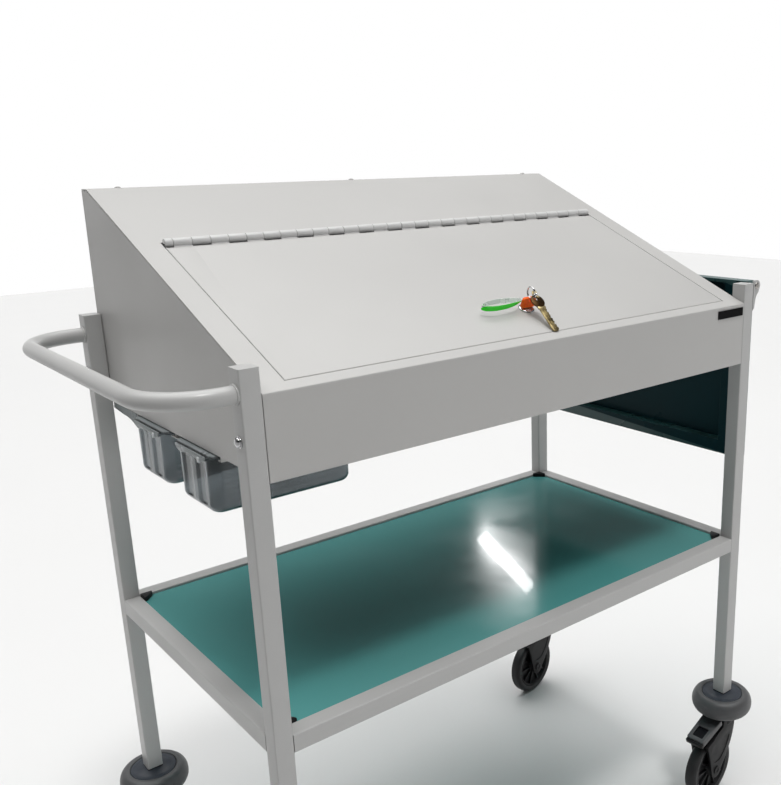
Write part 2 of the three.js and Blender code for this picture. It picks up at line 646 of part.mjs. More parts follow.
const wheelProfile = [
  [AXLE_RADIUS + 0.3, -14.5], [14, -14.5], [16, -8], [46, -8], [50, -WHEEL_HALF], [57, -WHEEL_HALF],
  [CASTOR_WHEEL, -5.5], [CASTOR_WHEEL, 5.5], [57, WHEEL_HALF], [50, WHEEL_HALF], [46, 8], [16, 8],
  [14, 14.5], [AXLE_RADIUS + 0.3, 14.5], [AXLE_RADIUS + 0.3, -14.5],
];

// The pedal is a sloping cap with a square window, skirts at its sides and a lip at its outer end.
const PEDAL_TILT = 20; // degrees down from level
const PEDAL_AT = [-56, 153.3]; // middle of its top face
const PEDAL_HALF = [32, 19.5];
const PEDAL_DEPTH = 12;

function brakePedal() {
  const [halfX, halfY] = PEDAL_HALF;
  const cap = solid(extrude(roundedRect(halfX, halfY, 3), PEDAL_DEPTH, 2).translate(0, 0, -PEDAL_DEPTH));
  const under = block([-halfX + 3, halfX + 1], [-halfY + 3, halfY - 3], [-PEDAL_DEPTH - 1, -4]);
  const inner = block([4, halfX + 1], [-halfY - 1, halfY + 1], [-PEDAL_DEPTH - 1, -4]);
  const window = block([-24, 0], [-11, 11], [-5, 1]);
  const lip = block([-halfX - 5, -halfX + 2], [-halfY + 1, halfY - 1], [-PEDAL_DEPTH, -3]);
  const pedal = shell(cap.add(lip).subtract(under).subtract(inner).subtract(window));
  pedal.rotateY(-THREE.MathUtils.degToRad(PEDAL_TILT));
  return pedal.translate(PEDAL_AT[0], 0, PEDAL_AT[1]);
}

const castorSpots = [
  ['front_left', 0, 0, -4, false],
  ['front_right', LENGTH - TUBE, 0, 4, true],
  ['rear_left', 0, DEPTH - TUBE, -3, true],
  ['rear_right', LENGTH - TUBE, DEPTH - TUBE, 10, false],
];

for (const [spot, x, y, yaw, braked] of castorSpots) {
  const castor = new THREE.Group();
  castor.position.set(x + TUBE / 2, y + TUBE / 2, 0);
  castor.rotation.z = THREE.MathUtils.degToRad(yaw);
  trolley.add(castor);
  place(`castor_mount_${spot}`, turned(bufferProfile, 20), GREY_RUBBER, castor);
  place(`castor_fork_${spot}`, fork(), BLACK, castor);
  const wheel = turned(wheelProfile, 24).rotateX(Math.PI / 2);
  place(`castor_wheel_${spot}`, wheel.translate(-CASTOR_TRAIL, 0, CASTOR_WHEEL), BLACK, castor);
  if (braked) place(`brake_pedal_${spot}`, brakePedal(), BLACK, castor);
}

export default trolley;
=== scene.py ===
"""Looks for the medicine trolley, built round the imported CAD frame.

Pieces are drawn in millimetres in the trolley's drawing frame (x from the left legs' outer faces,
y from the front legs' front faces, z from the floor) and are moved into the row frame in metres.
"""

import math

import bmesh
import bpy
from mathutils import Matrix, Vector


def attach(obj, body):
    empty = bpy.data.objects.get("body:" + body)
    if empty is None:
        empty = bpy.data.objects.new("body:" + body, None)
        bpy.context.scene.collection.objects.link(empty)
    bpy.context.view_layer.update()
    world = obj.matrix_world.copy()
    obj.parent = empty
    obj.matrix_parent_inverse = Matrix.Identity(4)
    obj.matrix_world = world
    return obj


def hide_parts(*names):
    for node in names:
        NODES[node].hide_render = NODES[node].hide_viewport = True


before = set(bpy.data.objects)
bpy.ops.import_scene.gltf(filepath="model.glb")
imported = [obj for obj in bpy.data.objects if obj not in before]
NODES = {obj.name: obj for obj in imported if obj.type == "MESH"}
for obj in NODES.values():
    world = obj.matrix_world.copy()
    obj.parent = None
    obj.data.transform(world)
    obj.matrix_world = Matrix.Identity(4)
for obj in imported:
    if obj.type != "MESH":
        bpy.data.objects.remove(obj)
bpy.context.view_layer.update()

# ---- driving dimensions, as in the CAD (mm) ----
GAP = 0.3
LENGTH, DEPTH, TUBE = 922.0, 530.0, 25.0
HANDLE_Z, HANDLE_REACH, HANDLE_RADIUS, HANDLE_BEND = 949.0, 89.0, 10.65, 75.0
FRONT_TOP, RIDGE_Y, RIDGE_Z, BACK_TOP_Y = 947.0, 498.0, 1156.0, 519.0
SLOPE = math.atan2(RIDGE_Z - FRONT_TOP, RIDGE_Y)
CABINET_ENDS = (TUBE + GAP, LENGTH - TUBE - GAP)
LID_MID, LID_HALF, LID_FRONT, LID_FLANGE, LID_SHEET = LENGTH / 2, 398.5, 19.0, 14.0, 1.5
HINGE_AT, HINGE_LIFT, KNUCKLE, KNUCKLE_PITCH, KNUCKLE_COUNT = 358.0, 2.0, 6.0, 26.2, 31
LOCK_X, LOCK_AT, LOCK_HOLE = 478.0, 82.0, 9.8
PIVOT_X, PIVOT_Z = 930.5, 973.0
BOLT_Z, SHELF_FRAME, RIDGE_SCREW_PITCH = 896.0, 12.0, 394.0
PLUG_FOOT, PLUG_TOP, PLUG_REACH = 508.0, 527.5, 19.0
BIN_X, BIN_ROWS, BIN_BOTTOM, BIN_TOP = 118.0, (199.0, 347.0), 765.0, 842.0
WHEEL, TRAIL, BUFFER = 62.5, 38.0, 55.0

# ---- frames ----
MM = 0.001
HANDLE_END, BUFFER_END = HANDLE_REACH + HANDLE_RADIUS, LENGTH - TUBE / 2 + BUFFER
ORIGIN = Vector(((HANDLE_END - BUFFER_END) / 2, -DEPTH / 2, 0.0))
TROLLEY = Matrix.Scale(MM, 4) @ Matrix.Translation(ORIGIN)
ON_SLOPE = TROLLEY @ Matrix.Translation((0, 0, FRONT_TOP)) @ Matrix.Rotation(SLOPE, 4, "X")
ON_LOCK = ON_SLOPE @ Matrix.Translation((LOCK_X, LOCK_AT, 0))


def turned(axis, degrees):
    return Matrix.Rotation(math.radians(degrees), 4, axis)


def at(x, y, z):
    return Matrix.Translation((x, y, z))


# each leg's centre and the angle its castor stands at
CASTORS = {
    "front_left": (TUBE / 2, TUBE / 2, -4),
    "front_right": (LENGTH - TUBE / 2, TUBE / 2, 4),
    "rear_left": (TUBE / 2, DEPTH - TUBE / 2, -3),
    "rear_right": (LENGTH - TUBE / 2, DEPTH - TUBE / 2, 10),
}
BRAKED = ("front_right", "rear_left")


def castor_frame(spot):
    x, y, yaw = CASTORS[spot]
    return TROLLEY @ at(x, y, 0) @ turned("Z", yaw)


# ---- materials ----
MIX_A, MIX_B, MIX_RESULT = 6, 7, 2  # a Mix node's colour sockets


class Finish:
    """A node material under construction: bump, roughness and colour are added in turn."""

    def __init__(self, name, color, roughness, metallic=0.0, **sockets):
        self.material = bpy.data.materials.new(name)
        self.material.use_nodes = True
        self.tree = self.material.node_tree
        self.shader = self.tree.nodes["Principled BSDF"]
        self.color = (*color, 1.0)
        self.roughness = roughness
        self.set("Base Color", self.color)
        self.set("Roughness", roughness)
        self.set("Metallic", metallic)
        for socket, value in sockets.items():
            self.set(socket.replace("_", " "), value)
        self.place = self.add("ShaderNodeTexCoord").outputs["Object"]
        self.bump = None

    def set(self, socket, value):
        self.shader.inputs[socket].default_value = value

    def add(self, kind, inputs=(), **settings):
        node = self.tree.nodes.new(kind)
        for key, value in settings.items():
            setattr(node, key, value)
        for key, value in dict(inputs).items():
            if isinstance(value, bpy.types.NodeSocket):
                self.tree.links.new(value, node.inputs[key])
            else:
                node.inputs[key].default_value = value
        return node

    def noise(self, scale, detail=3.0, stretch=(1, 1, 1), roughness=0.5):
        place = self.place
        if stretch != (1, 1, 1):
            mapping = self.add("ShaderNodeMapping", {"Vector": place, "Scale": stretch})
            place = mapping.outputs["Vector"]
        inputs = {"Vector": place, "Scale": scale, "Detail": detail, "Roughness": roughness}
        return self.add("ShaderNodeTexNoise", inputs).outputs["Fac"]

    def ramp(self, value, low, high, from_low=0.3, from_high=0.7):
        inputs = {"Value": value, "From Min": from_low, "From Max": from_high}
        inputs.update({"To Min": low, "To Max": high})
        return self.add("ShaderNodeMapRange", inputs).outputs["Result"]

    def raised(self, height, depth_mm, strength=1.0):
        """Adds a bump of this depth on top of those there are."""
        inputs = {"Height": height, "Distance": depth_mm * MM, "Strength": strength}
        if self.bump:
            inputs["Normal"] = self.bump
        self.bump = self.add("ShaderNodeBump", inputs).outputs["Normal"]
        self.tree.links.new(self.bump, self.shader.inputs["Normal"])
        return self

    def rough(self, value, spread, low=0.3, high=0.7):
        """Roughness wanders by spread either side of its base."""
        result = self.ramp(value, self.roughness - spread, self.roughness + spread, low, high)
        self.tree.links.new(result, self.shader.inputs["Roughness"])
        return self

    def tint(self, factor, other):
        """Mixes the colour towards other by factor."""
        mix = self.add("ShaderNodeMix", {"Factor": factor}, data_type="RGBA")
        source = self.shader.inputs["Base Color"]
        if source.is_linked:
            self.tree.links.new(source.links[0].from_socket, mix.inputs[MIX_A])
        else:
            mix.inputs[MIX_A].default_value = self.color
        mix.inputs[MIX_B].default_value = (*other, 1.0)
        self.tree.links.new(mix.outputs[MIX_RESULT], source)
        return self


def scaled(color, factor, lift=0.0):
    """A colour made lighter or darker, kept at or below white."""
    return tuple(min(1, c * factor + lift) for c in color)


def powder_coat(name, color, roughness, grain=0.05, **sockets):
    """Textured stove enamel: fine orange peel, faint cloudy gloss and dust."""
    m = Finish(name, color, roughness, **sockets)
    m.raised(m.noise(620.0, 2.0), grain, 0.45)
    m.raised(m.noise(190.0, 3.0), grain * 2, 0.25)
    m.rough(m.noise(7.0, 5.0), 0.06)
    m.tint(m.ramp(m.noise(2.3, 6.0), 0.0, 0.10, 0.4, 0.75), scaled(color, 0.82))
    m.tint(m.ramp(m.noise(260.0, 2.0), 0.0, 0.05), scaled(color, 1.12))
    return m.material


def moulded(name, color, roughness, grain=0.03, **sockets):
    """Moulded plastic or rubber with a fine spark-eroded grain and soft scuffs."""
    m = Finish(name, color, roughness, **sockets)
    m.raised(m.noise(900.0, 2.0), grain, 0.5)
    m.rough(m.noise(35.0, 5.0), 0.08)
    scuffs = m.noise(60.0, 6.0, stretch=(1, 1, 6))
    m.tint(m.ramp(scuffs, 0.0, 0.25, 0.56, 0.72), scaled(color, 1.9, 0.003))
    return m.material


def plated(name, color, roughness, **sockets):
    """Nickel or chrome plate with faint polishing lines and dulling."""
    m = Finish(name, color, roughness, 1.0, **sockets)
    m.raised(m.noise(300.0, 2.0, stretch=(1, 1, 12)), 0.01, 0.3)
    m.rough(m.noise(80.0, 5.0), 0.08)
    m.tint(m.ramp(m.noise(120.0, 5.0), 0.0, 0.35, 0.5, 0.72), scaled(color, 0.45))
    return m.material


def tyre_rubber(name, color, roughness):
    """Black tread rubber, greyed here and there by floor dust."""
    dusty = (0.045, 0.043, 0.041)
    m = Finish(name, color, roughness)
    m.raised(m.noise(500.0, 3.0), 0.06, 0.5)
    m.rough(m.noise(30.0, 4.0), 0.1)
    dust = m.noise(22.0, 7.0)
    m.tint(m.ramp(dust, 0.0, 0.35, 0.45, 0.75), dusty)
    return m.material


def brass_key(name, color, tarnish):
    """Worn brass with lengthwise scratches; tarnish is how strongly it has browned."""
    brown = (0.075, 0.045, 0.02)
    m = Finish(name, color, 0.32, 1.0)
    m.raised(m.noise(200.0, 3.0, stretch=(8, 1, 1)), 0.03, 0.5)
    m.rough(m.noise(90.0, 5.0), 0.12)
    m.tint(m.ramp(m.noise(110.0, 6.0), 0.0, tarnish, 0.48, 0.62), brown)
    return m.material


def clear_bin(name):
    """Smoke-clear polypropylene with flow marks and a faint grain."""
    m = Finish(name, (0.31, 0.34, 0.355), 0.07, IOR=1.40, Transmission_Weight=0.96)
    m.raised(m.noise(28.0, 2.0), 0.1, 0.2)
    m.raised(m.noise(500.0, 2.0), 0.01, 0.06)
    m.rough(m.noise(18.0, 5.0), 0.06)
    return m.material


def frosted_rim(name):
    """The thicker plastic of the bins' rims and pulls, paler and more frosted."""
    m = Finish(name, (0.32, 0.35, 0.36), 0.3, IOR=1.42, Transmission_Weight=0.25)
    m.raised(m.noise(40.0, 3.0), 0.1, 0.3)
    m.raised(m.noise(700.0, 2.0), 0.03, 0.4)
    m.rough(m.noise(25.0, 5.0), 0.1)
    m.tint(m.ramp(m.noise(30.0, 5.0), 0.0, 0.4, 0.45, 0.7), (0.22, 0.25, 0.26))
    return m.material


def strap_green(name):
    """The green strip, which runs along the strap's near side."""
    m = Finish(name, (0.02, 0.72, 0.012), 0.2, Specular_IOR_Level=0.4)
    m.raised(m.noise(160.0, 3.0), 0.12, 0.4)
    m.rough(m.noise(70.0, 4.0), 0.08)
    m.tint(m.ramp(m.noise(45.0, 4.0), 0.0, 0.4, 0.52, 0.75), (0.10, 0.90, 0.06))
    return m.material


def strap_clear(name):
    """The strap's clear band, which is slightly milky."""
    m = Finish(name, (0.90, 0.96, 0.92), 0.25, IOR=1.40, Transmission_Weight=0.3)
    m.raised(m.noise(160.0, 3.0), 0.12, 0.4)
    m.rough(m.noise(70.0, 4.0), 0.08)
    m.tint(m.ramp(m.noise(60.0, 4.0), 0.0, 0.4, 0.5, 0.7), (0.70, 0.78, 0.74))
    return m.material


WHITE = powder_coat("white_powder_coat", (0.50, 0.495, 0.485), 0.42)
WHITE_TUBE = powder_coat("white_tube_coat", (0.49, 0.49, 0.485), 0.34, grain=0.03)
# the hinge wears the cabinet's white paint, made lighter here as painted light
WHITE_HINGE_PAINTED_LIGHT = powder_coat("white_hinge_painted_light", (0.63, 0.63, 0.627), 0.40, grain=0.03)
# the cabinet's white paint darkened for the floor's underside: painted shade
WHITE_UNDER_PAINTED_SHADE = powder_coat("white_underside_painted_shade", (0.25, 0.25, 0.245), 0.5)
TEAL = powder_coat("teal_tray_coat", (0.095, 0.345, 0.335), 0.15, grain=0.012, Coat_Weight=0.2)
# the tray's teal paint darkened for the shelf's rim and inner side: painted shade
TEAL_SHELF_PAINTED_SHADE = powder_coat("teal_shelf_painted_shade", (0.026, 0.085, 0.086), 0.3, grain=0.03)
TEAL_PANEL = powder_coat("teal_panel_coat", (0.006, 0.034, 0.042), 0.32, grain=0.02,
                         Specular_IOR_Level=0.08)
CHROME = plated("bright_plate", (0.62, 0.62, 0.63), 0.16)
DARK_PLATE = plated("tarnished_plate", (0.42, 0.40, 0.38), 0.28)
RUBBER = moulded("grey_buffer_rubber", (0.062, 0.063, 0.066), 0.48, Sheen_Weight=0.1)
DISC = moulded("blue_grey_disc", (0.030, 0.036, 0.047), 0.42, Specular_IOR_Level=0.35)
NYLON = moulded("black_nylon", (0.006, 0.006, 0.007), 0.42, Specular_IOR_Level=0.22)
# a darker copy of the black nylon for the block under the pedal's window: painted shade
NYLON_PAINTED_SHADE = moulded("black_nylon_painted_shade", (0.002, 0.0025, 0.0045), 0.5, Specular_IOR_Level=0.15)
PEDAL = moulded("grey_pedal_nylon", (0.062, 0.064, 0.067), 0.4)
TYRE = tyre_rubber("tyre_rubber", (0.009, 0.009, 0.010), 0.55)
ORANGE = moulded("orange_key_plastic", (1.0, 0.14, 0.004), 0.5, Specular_IOR_Level=0.25)
BRASS = brass_key("worn_brass", (0.60, 0.48, 0.24), 0.55)
BRASS_DARK = brass_key("dark_brass", (0.11, 0.06, 0.025), 0.75)
BIN = clear_bin("clear_bin_plastic")
BIN_RIM = frosted_rim("frosted_bin_rim")
# a pale plastic for the tabs at the pulls' near ends: painted highlight
TAB_PAINTED_HIGHLIGHT = moulded("pale_tab_painted_highlight", (0.62, 0.65, 0.67), 0.35)
GREEN_BAND = strap_green("green_strap")
CLEAR_BAND = strap_clear("clear_strap")
PLATE_BLACK = moulded("black_nameplate", (0.0015, 0.0015, 0.0018), 0.4, grain=0.01,
                      Specular_IOR_Level=0.04)


# ---- mesh helpers ----
SHARP = 32.0  # edges that turn by more degrees than this stay sharp
BEVEL_FROM = 40.0  # and those that turn by more than this are rounded
TINY = 1e-6


def mesh_object(name, verts, faces, matrix, material, sharp=SHARP):
    mesh = bpy.data.meshes.new(name)
    mesh.from_pydata([matrix @ Vector(v) for v in verts], [], faces)
    return finished(name, mesh, material, sharp)


def finished(name, mesh, material, sharp=SHARP):
    """Closes up normals, smooths all but the sharp edges and makes the object."""
    bm = bmesh.new()
    bm.from_mesh(mesh)
    bmesh.ops.remove_doubles(bm, verts=bm.verts, dist=1e-7)
    bmesh.ops.recalc_face_normals(bm, faces=bm.faces)
    bm.to_mesh(mesh)
    bm.free()
    mesh.shade_smooth()
    mesh.set_sharp_from_angle(angle=math.radians(sharp))
    mesh.materials.append(material)
    piece = bpy.data.objects.new(name, mesh)
    bpy.context.scene.collection.objects.link(piece)
    return piece


def arc(cx, cy, radius, start, end, steps):
    """Points on an arc, angles in degrees."""
    angles = [math.radians(start + (end - start) * i / steps) for i in range(steps + 1)]
    return [(cx + radius * math.cos(a), cy + radius * math.sin(a)) for a in angles]


def bend(a, c, b, t):
    """The point at t along a bend from a to b that is drawn toward c."""
    return tuple(a * (1 - t) ** 2 + c * 2 * t * (1 - t) + b * t * t)


def fillet(points, radius, steps=4):
    """Rounds the corners of a closed outline."""
    out, count = [], len(points)
    for i, point in enumerate(points):
        p = Vector(point)
        before, after = Vector(points[i - 1]) - p, Vector(points[(i + 1) % count]) - p
        reach = min(radius, 0.49 * before.length, 0.49 * after.length)
        a, b = p + before.normalized() * reach, p + after.normalized() * reach
        out += [bend(a, p, b, k / steps) for k in range(steps + 1)]
    return out


def curve(a, control, b, steps=8):
    """Points on a bend from a to b, without a itself."""
    a, c, b = Vector(a), Vector(control), Vector(b)
    return [bend(a, c, b, i / steps) for i in range(1, steps + 1)]


def lathe(name, profile, matrix, material, segments=56):
    """Turns (radius, height) points about local Z; the profile ends on the axis or closes."""
    verts, rings = [], []
    for r, z in profile:
        if r < TINY:
            rings.append([len(verts)] * segments)
            verts.append((0, 0, z))
            continue
        rings.append(list(range(len(verts), len(verts) + segments)))
        verts += [(x, y, z) for x, y in arc(0, 0, r, 0, 360, segments)[:-1]]
    loops = list(zip(rings, rings[1:]))
    if profile[0][0] > TINY:
        loops.append((rings[-1], rings[0]))
    faces = []
    for low, high in loops:
        for k in range(segments):
            n = (k + 1) % segments
            face = [low[k], low[n], high[n], high[k]]
            face = [v for i, v in enumerate(face) if v not in face[:i]]
            if len(face) > 2:
                faces.append(face)
    return mesh_object(name, verts, faces, matrix, material)


def skin(rings, closed):
    """Quads between rings of vertex numbers, with a cap at each end of an open run."""
    sides = len(rings[0])
    pairs = list(zip(rings, rings[1:])) + ([(rings[-1], rings[0])] if closed else [])
    faces = []
    for a, b in pairs:
        for k in range(sides):
            n = (k + 1) % sides
            faces.append([a[k], a[n], b[n], b[k]])
    return faces if closed else faces + [rings[0][::-1], rings[-1]]


def neighbours(points, i, closed):
    """The points before and after the one at i; an end of an open run stands in for itself."""
    before = points[i - 1] if closed or i else points[i]
    after = points[(i + 1) % len(points)] if closed or i < len(points) - 1 else points[i]
    return before, after


def sweep(name, path, radius, matrix, material, sides=20, closed=False):
    """A round bar along a path of 3-D points; radius is a number or one for each point."""
    points = [Vector(p) for p in path]
    radii = radius if isinstance(radius, list) else [radius] * len(points)
    tangents = []
    for i in range(len(points)):
        before, after = neighbours(points, i, closed)
        tangents.append((after - before).normalized())
    side = tangents[0].orthogonal().normalized()
    verts, rings = [], []
    for p, t, r in zip(points, tangents, radii):
        side = (side - t * side.dot(t)).normalized()
        up = t.cross(side)
        rings.append(list(range(len(verts), len(verts) + sides)))
        verts += [p + side * x + up * y for x, y in arc(0, 0, r, 0, 360, sides)[:-1]]
    return mesh_object(name, verts, skin(rings, closed), matrix, material, 50.0)


def prism(name, outline, low, high, matrix, material, bevel=0.5, steps=2):
    """An outline in the local XY plane raised from low to high along Z, with its rims rounded."""
    bm = bmesh.new()
    bottom = [bm.verts.new((x, y, low)) for x, y in outline]
    face = bm.faces.new(bottom)
    raised = bmesh.ops.extrude_face_region(bm, geom=[face])
    top = [v for v in raised["geom"] if isinstance(v, bmesh.types.BMVert)]
    bmesh.ops.translate(bm, verts=top, vec=(0, 0, high - low))
    bmesh.ops.recalc_face_normals(bm, faces=bm.faces)
    round_edges(bm, bevel, steps)
    bmesh.ops.transform(bm, matrix=matrix, verts=bm.verts)
    mesh = bpy.data.meshes.new(name)
    bm.to_mesh(mesh)
    bm.free()
    return finished(name, mesh, material)


def round_edges(bm, radius, steps):
    """Bevels every edge that turns by more than some degrees."""
    if radius <= 0:
        return
    least = math.radians(BEVEL_FROM)
    edges = [e for e in bm.edges if len(e.link_faces) == 2 and e.calc_face_angle(0) > least]
    bmesh.ops.bevel(bm, geom=edges, offset=radius, segments=steps, profile=0.5, affect="EDGES",
                    clamp_overlap=True)


def rounded_block(name, x, y, z, matrix, material, radius=0.6, steps=3):
    """A block between three pairs of limits with rounded edges."""
    outline = [(x[0], y[0]), (x[1], y[0]), (x[1], y[1]), (x[0], y[1])]
    return prism(name, outline, z[0], z[1], matrix, material, radius, steps)


def cut(piece, other):
    """Cuts another mesh out of a piece, and removes the other."""
    modifier = piece.modifiers.new("cut", "BOOLEAN")
    modifier.operation, modifier.solver, modifier.object = "DIFFERENCE", "EXACT", other
    bpy.context.view_layer.update()
    evaluated = piece.evaluated_get(bpy.context.evaluated_depsgraph_get())
    mesh = bpy.data.meshes.new_from_object(evaluated)
    piece.modifiers.clear()
    piece.data = mesh
    bpy.data.objects.remove(other)
    mesh.shade_smooth()
    mesh.set_sharp_from_angle(angle=math.radians(SHARP))
    return piece


def joined(parts):
    """Merges pieces of one material into the first of them."""
    bm = bmesh.new()
    for part in parts:
        bm.from_mesh(part.data)
    for part in parts[1:]:
        bpy.data.objects.remove(part)
    bm.to_mesh(parts[0].data)
    bm.free()
    parts[0].data.shade_smooth()
    parts[0].data.set_sharp_from_angle(angle=math.radians(SHARP))
    return parts[0]


def dress(piece, body, slot, *stands_for):
    """Says which body a piece rides on and the CAD nodes it stands for; slot is not used."""
    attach(piece, body)
    if stands_for:
        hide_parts(*stands_for)
    return piece


# ---- CAD nodes that keep their shape ----
def soften(name, material, radius, steps=3):
    """Gives a CAD node its finish and small rounded edges."""
    piece = NODES[name]
    piece.data.materials.clear()
    piece.data.materials.append(material)
    piece.data.shade_smooth()
    weld = piece.modifiers.new("weld", "WELD")
    weld.merge_threshold = TINY
    bevel = piece.modifiers.new("bevel", "BEVEL")
    bevel.width, bevel.segments = radius * MM, steps
    bevel.limit_method, bevel.angle_limit = "ANGLE", math.radians(BEVEL_FROM)
    bevel.harden_normals = True
    piece.modifiers.new("normals", "WEIGHTED_NORMAL").keep_sharp = True


for spot in CASTORS:
    soften(f"leg_{spot}", WHITE_TUBE, 0.8)
for side in ("front", "rear", "left", "right"):
    soften(f"rail_{side}", WHITE_TUBE, 0.5)
for side in ("front", "back", "side_left", "side_right", "top"):
    soften(f"cabinet_{side}", WHITE, 0.45)
# the floor's underside is painted darker as shade
soften("cabinet_floor", WHITE_UNDER_PAINTED_SHADE, 0.45)
soften("lock_keeper", WHITE, 0.5)
soften("shelf_tray", TEAL, 0.6)
# the shelf's rim and inner side are painted in shade
soften("side_shelf", TEAL_SHELF_PAINTED_SHADE, 1.2)


SQUARELY = 0.9  # a face looks along an axis when its normal has at least this much of it


def finish_shelf(piece, margin):
    """The folded shelf's rim and inner side carry the tray's teal darkened as painted shade; its
    recess is darker than its frame; its outer face matches the tray.
    """
    piece.data.materials.append(TEAL_PANEL)
    piece.data.materials.append(TEAL)
    corners = [v.co for v in piece.data.vertices]
    low = [min(c[i] for c in corners) + margin * MM for i in range(3)]
    high = [max(c[i] for c in corners) - margin * MM for i in range(3)]
    for face in piece.data.polygons:
        inside = all(low[i] < face.center[i] < high[i] for i in (1, 2))
        if face.normal[0] > SQUARELY:
            face.material_index = 2
        elif face.normal[0] < -SQUARELY and inside:
            face.material_index = 1


def finish_floor(piece):
    """The cabinet's floor is as white inside as its walls; only its underside is darker, as painted
    shade.
    """
    piece.data.materials.append(WHITE)
    for face in piece.data.polygons:
        if face.normal[2] > SQUARELY:
            face.material_index = 1


finish_shelf(NODES["side_shelf"], SHELF_FRAME)
finish_floor(NODES["cabinet_floor"])
for side in ("front", "rear"):
    soften(f"shelf_bracket_{side}", WHITE_TUBE, 0.5)
for side in ("front", "middle", "rear"):
    soften(f"bin_runner_{side}", WHITE, 0.35)
soften("nameplate", PLATE_BLACK, 0.3)
soften("lock_plug", CHROME, 0.3)
soften("hinge_pin", CHROME, 0.2)


# ---- push handle ----
def bar_ends():
    """Both ends of the handle, where it is welded to the left legs."""
    return (TUBE / 2, DEPTH - TUBE / 2)


def push_handle():
    """One bent tube from leg to leg."""
    front, rear = bar_ends()
    straight, bend_steps = HANDLE_REACH - HANDLE_BEND, 22
    plan = [(-GAP, front)]
    plan += arc(-straight, front + HANDLE_BEND, HANDLE_BEND, 270, 180, bend_steps)
    plan += arc(-straight, rear - HANDLE_BEND, HANDLE_BEND, 180, 90, bend_steps)
    plan += [(-GAP, rear)]
    path = [(x, y, HANDLE_Z) for x, y in plan]
    return sweep("handle_tube", path, HANDLE_RADIUS, TROLLEY, WHITE_TUBE, 40)


def weld_bead(name, y):
    """A slightly lumpy bead round the tube's end."""
    off_leg, thick = 1.1, 1.35
    ring = arc(0, 0, HANDLE_RADIUS + GAP, 0, 360, 44)[:-1]
    path = [(-off_leg, y + u, HANDLE_Z + v) for u, v in ring]
    lumps = [thick + 0.22 * math.sin(i * 2.1) + 0.12 * math.sin(i * 5.3) for i in range(len(path))]
    return sweep(name, path, lumps, TROLLEY, WHITE_TUBE, 10, closed=True)


dress(push_handle(), "trolley", "white_paint", "push_handle")
for y, end in zip(bar_ends(), ("front", "rear")):
    dress(weld_bead(f"handle_weld_{end}", y), "trolley", "white_paint")


# ---- fasteners ----
def dome_bolt(name, matrix):
    """A plated dome nut on a thin washer, its axis along local Z."""
    nut, washer, skirt, rise = 5.9, 6.8, 2.4, 3.6
    dome = [(0, -2), (3, -2), (3, 0.2), (washer, 0.2), (washer, 0.9), (5.6, 1.1), (nut, 1.6)]
    for a in (0.0, 0.3, 0.6, 0.9, 1.2, 1.4):
        dome.append((nut * math.cos(a), skirt + rise * math.sin(a)))
    return lathe(name, dome + [(0, skirt + rise)], matrix, CHROME, 40)


def cross_screw(name, radius, height, matrix, material):
    """A low domed screw with a cross recess, its axis along local Z."""
    shank, recess, slot_half = radius * 0.6, radius * 0.5, 0.45
    head = [(0, -1), (shank, -1), (shank, GAP), (radius, GAP)]
    for a in (0.35, 0.7, 1.05, 1.35):
        head.append((radius * math.cos(a), GAP + (height - GAP) * math.sin(a)))
    screw = lathe(name, head + [(0, height)], matrix, material, 32)
    for turn in (0, 90):
        slot = rounded_block("cutter", (-recess, recess), (-slot_half, slot_half),
                             (height * 0.45, height + 1), matrix @ turned("Z", turn), material, 0)
        cut(screw, slot)
    return screw


for spot, (x, y, _) in CASTORS.items():
    outward = -1 if x < LENGTH / 2 else 1
    face = 0 if outward < 0 else LENGTH
    matrix = TROLLEY @ at(face, y, BOLT_Z) @ turned("Y", 90 * outward)
    dress(dome_bolt(f"dome_bolt_{spot}", matrix), "trolley", "bright_steel", f"cabinet_bolt_{spot}")
for index, side in enumerate(("left", "middle", "right")):
    along = LENGTH / 2 + 6 + (index - 1) * RIDGE_SCREW_PITCH
    matrix = TROLLEY @ at(along, (RIDGE_Y + BACK_TOP_Y) / 2, RIDGE_Z) @ turned("Z", 20 + 31 * index)
    screw = cross_screw(f"ridge_screw_head_{side}", 4.6, 2.4, matrix, WHITE)
    dress(screw, "trolley", "white_paint", f"ridge_screw_{side}")
for end, y, turn in (("front", 0, 90), ("rear", DEPTH, -90)):
    matrix = TROLLEY @ at(PIVOT_X, y, PIVOT_Z) @ turned("X", turn)
    screw = cross_screw(f"pivot_screw_{end}", 5.6, 2.6, matrix @ turned("Z", 25), DARK_PLATE)
    dress(screw, "trolley", "bright_steel", f"shelf_pivot_{end}")


# ---- corner plugs of the lower shelf, black wedges that paint the shade seen down through its clipped corners ----
for spot, (x, y, _) in CASTORS.items():
    sx, sy = (1 if x < LENGTH / 2 else -1), (1 if y < DEPTH / 2 else -1)
    leg = at(x + sx * (TUBE / 2 + GAP), y + sy * (TUBE / 2 + GAP), 0)
    near = PLUG_REACH - 1.5
    wedge = [(0, 0), (sx * PLUG_REACH, 0), (sx * near, sy * 5), (sx * 5, sy * near),
             (0, sy * PLUG_REACH)]
    plug = prism(f"corner_shade_wedge_{spot}", wedge, PLUG_FOOT, PLUG_TOP, TROLLEY @ leg, NYLON, 1.2, 3)
    dress(plug, "trolley", "black_nylon")


# ---- hinge ----
LID_LOW, LID_HIGH = LID_MID - LID_HALF, LID_MID + LID_HALF
FIRST_KNUCKLE = LID_HIGH - KNUCKLE_PITCH * KNUCKLE_COUNT


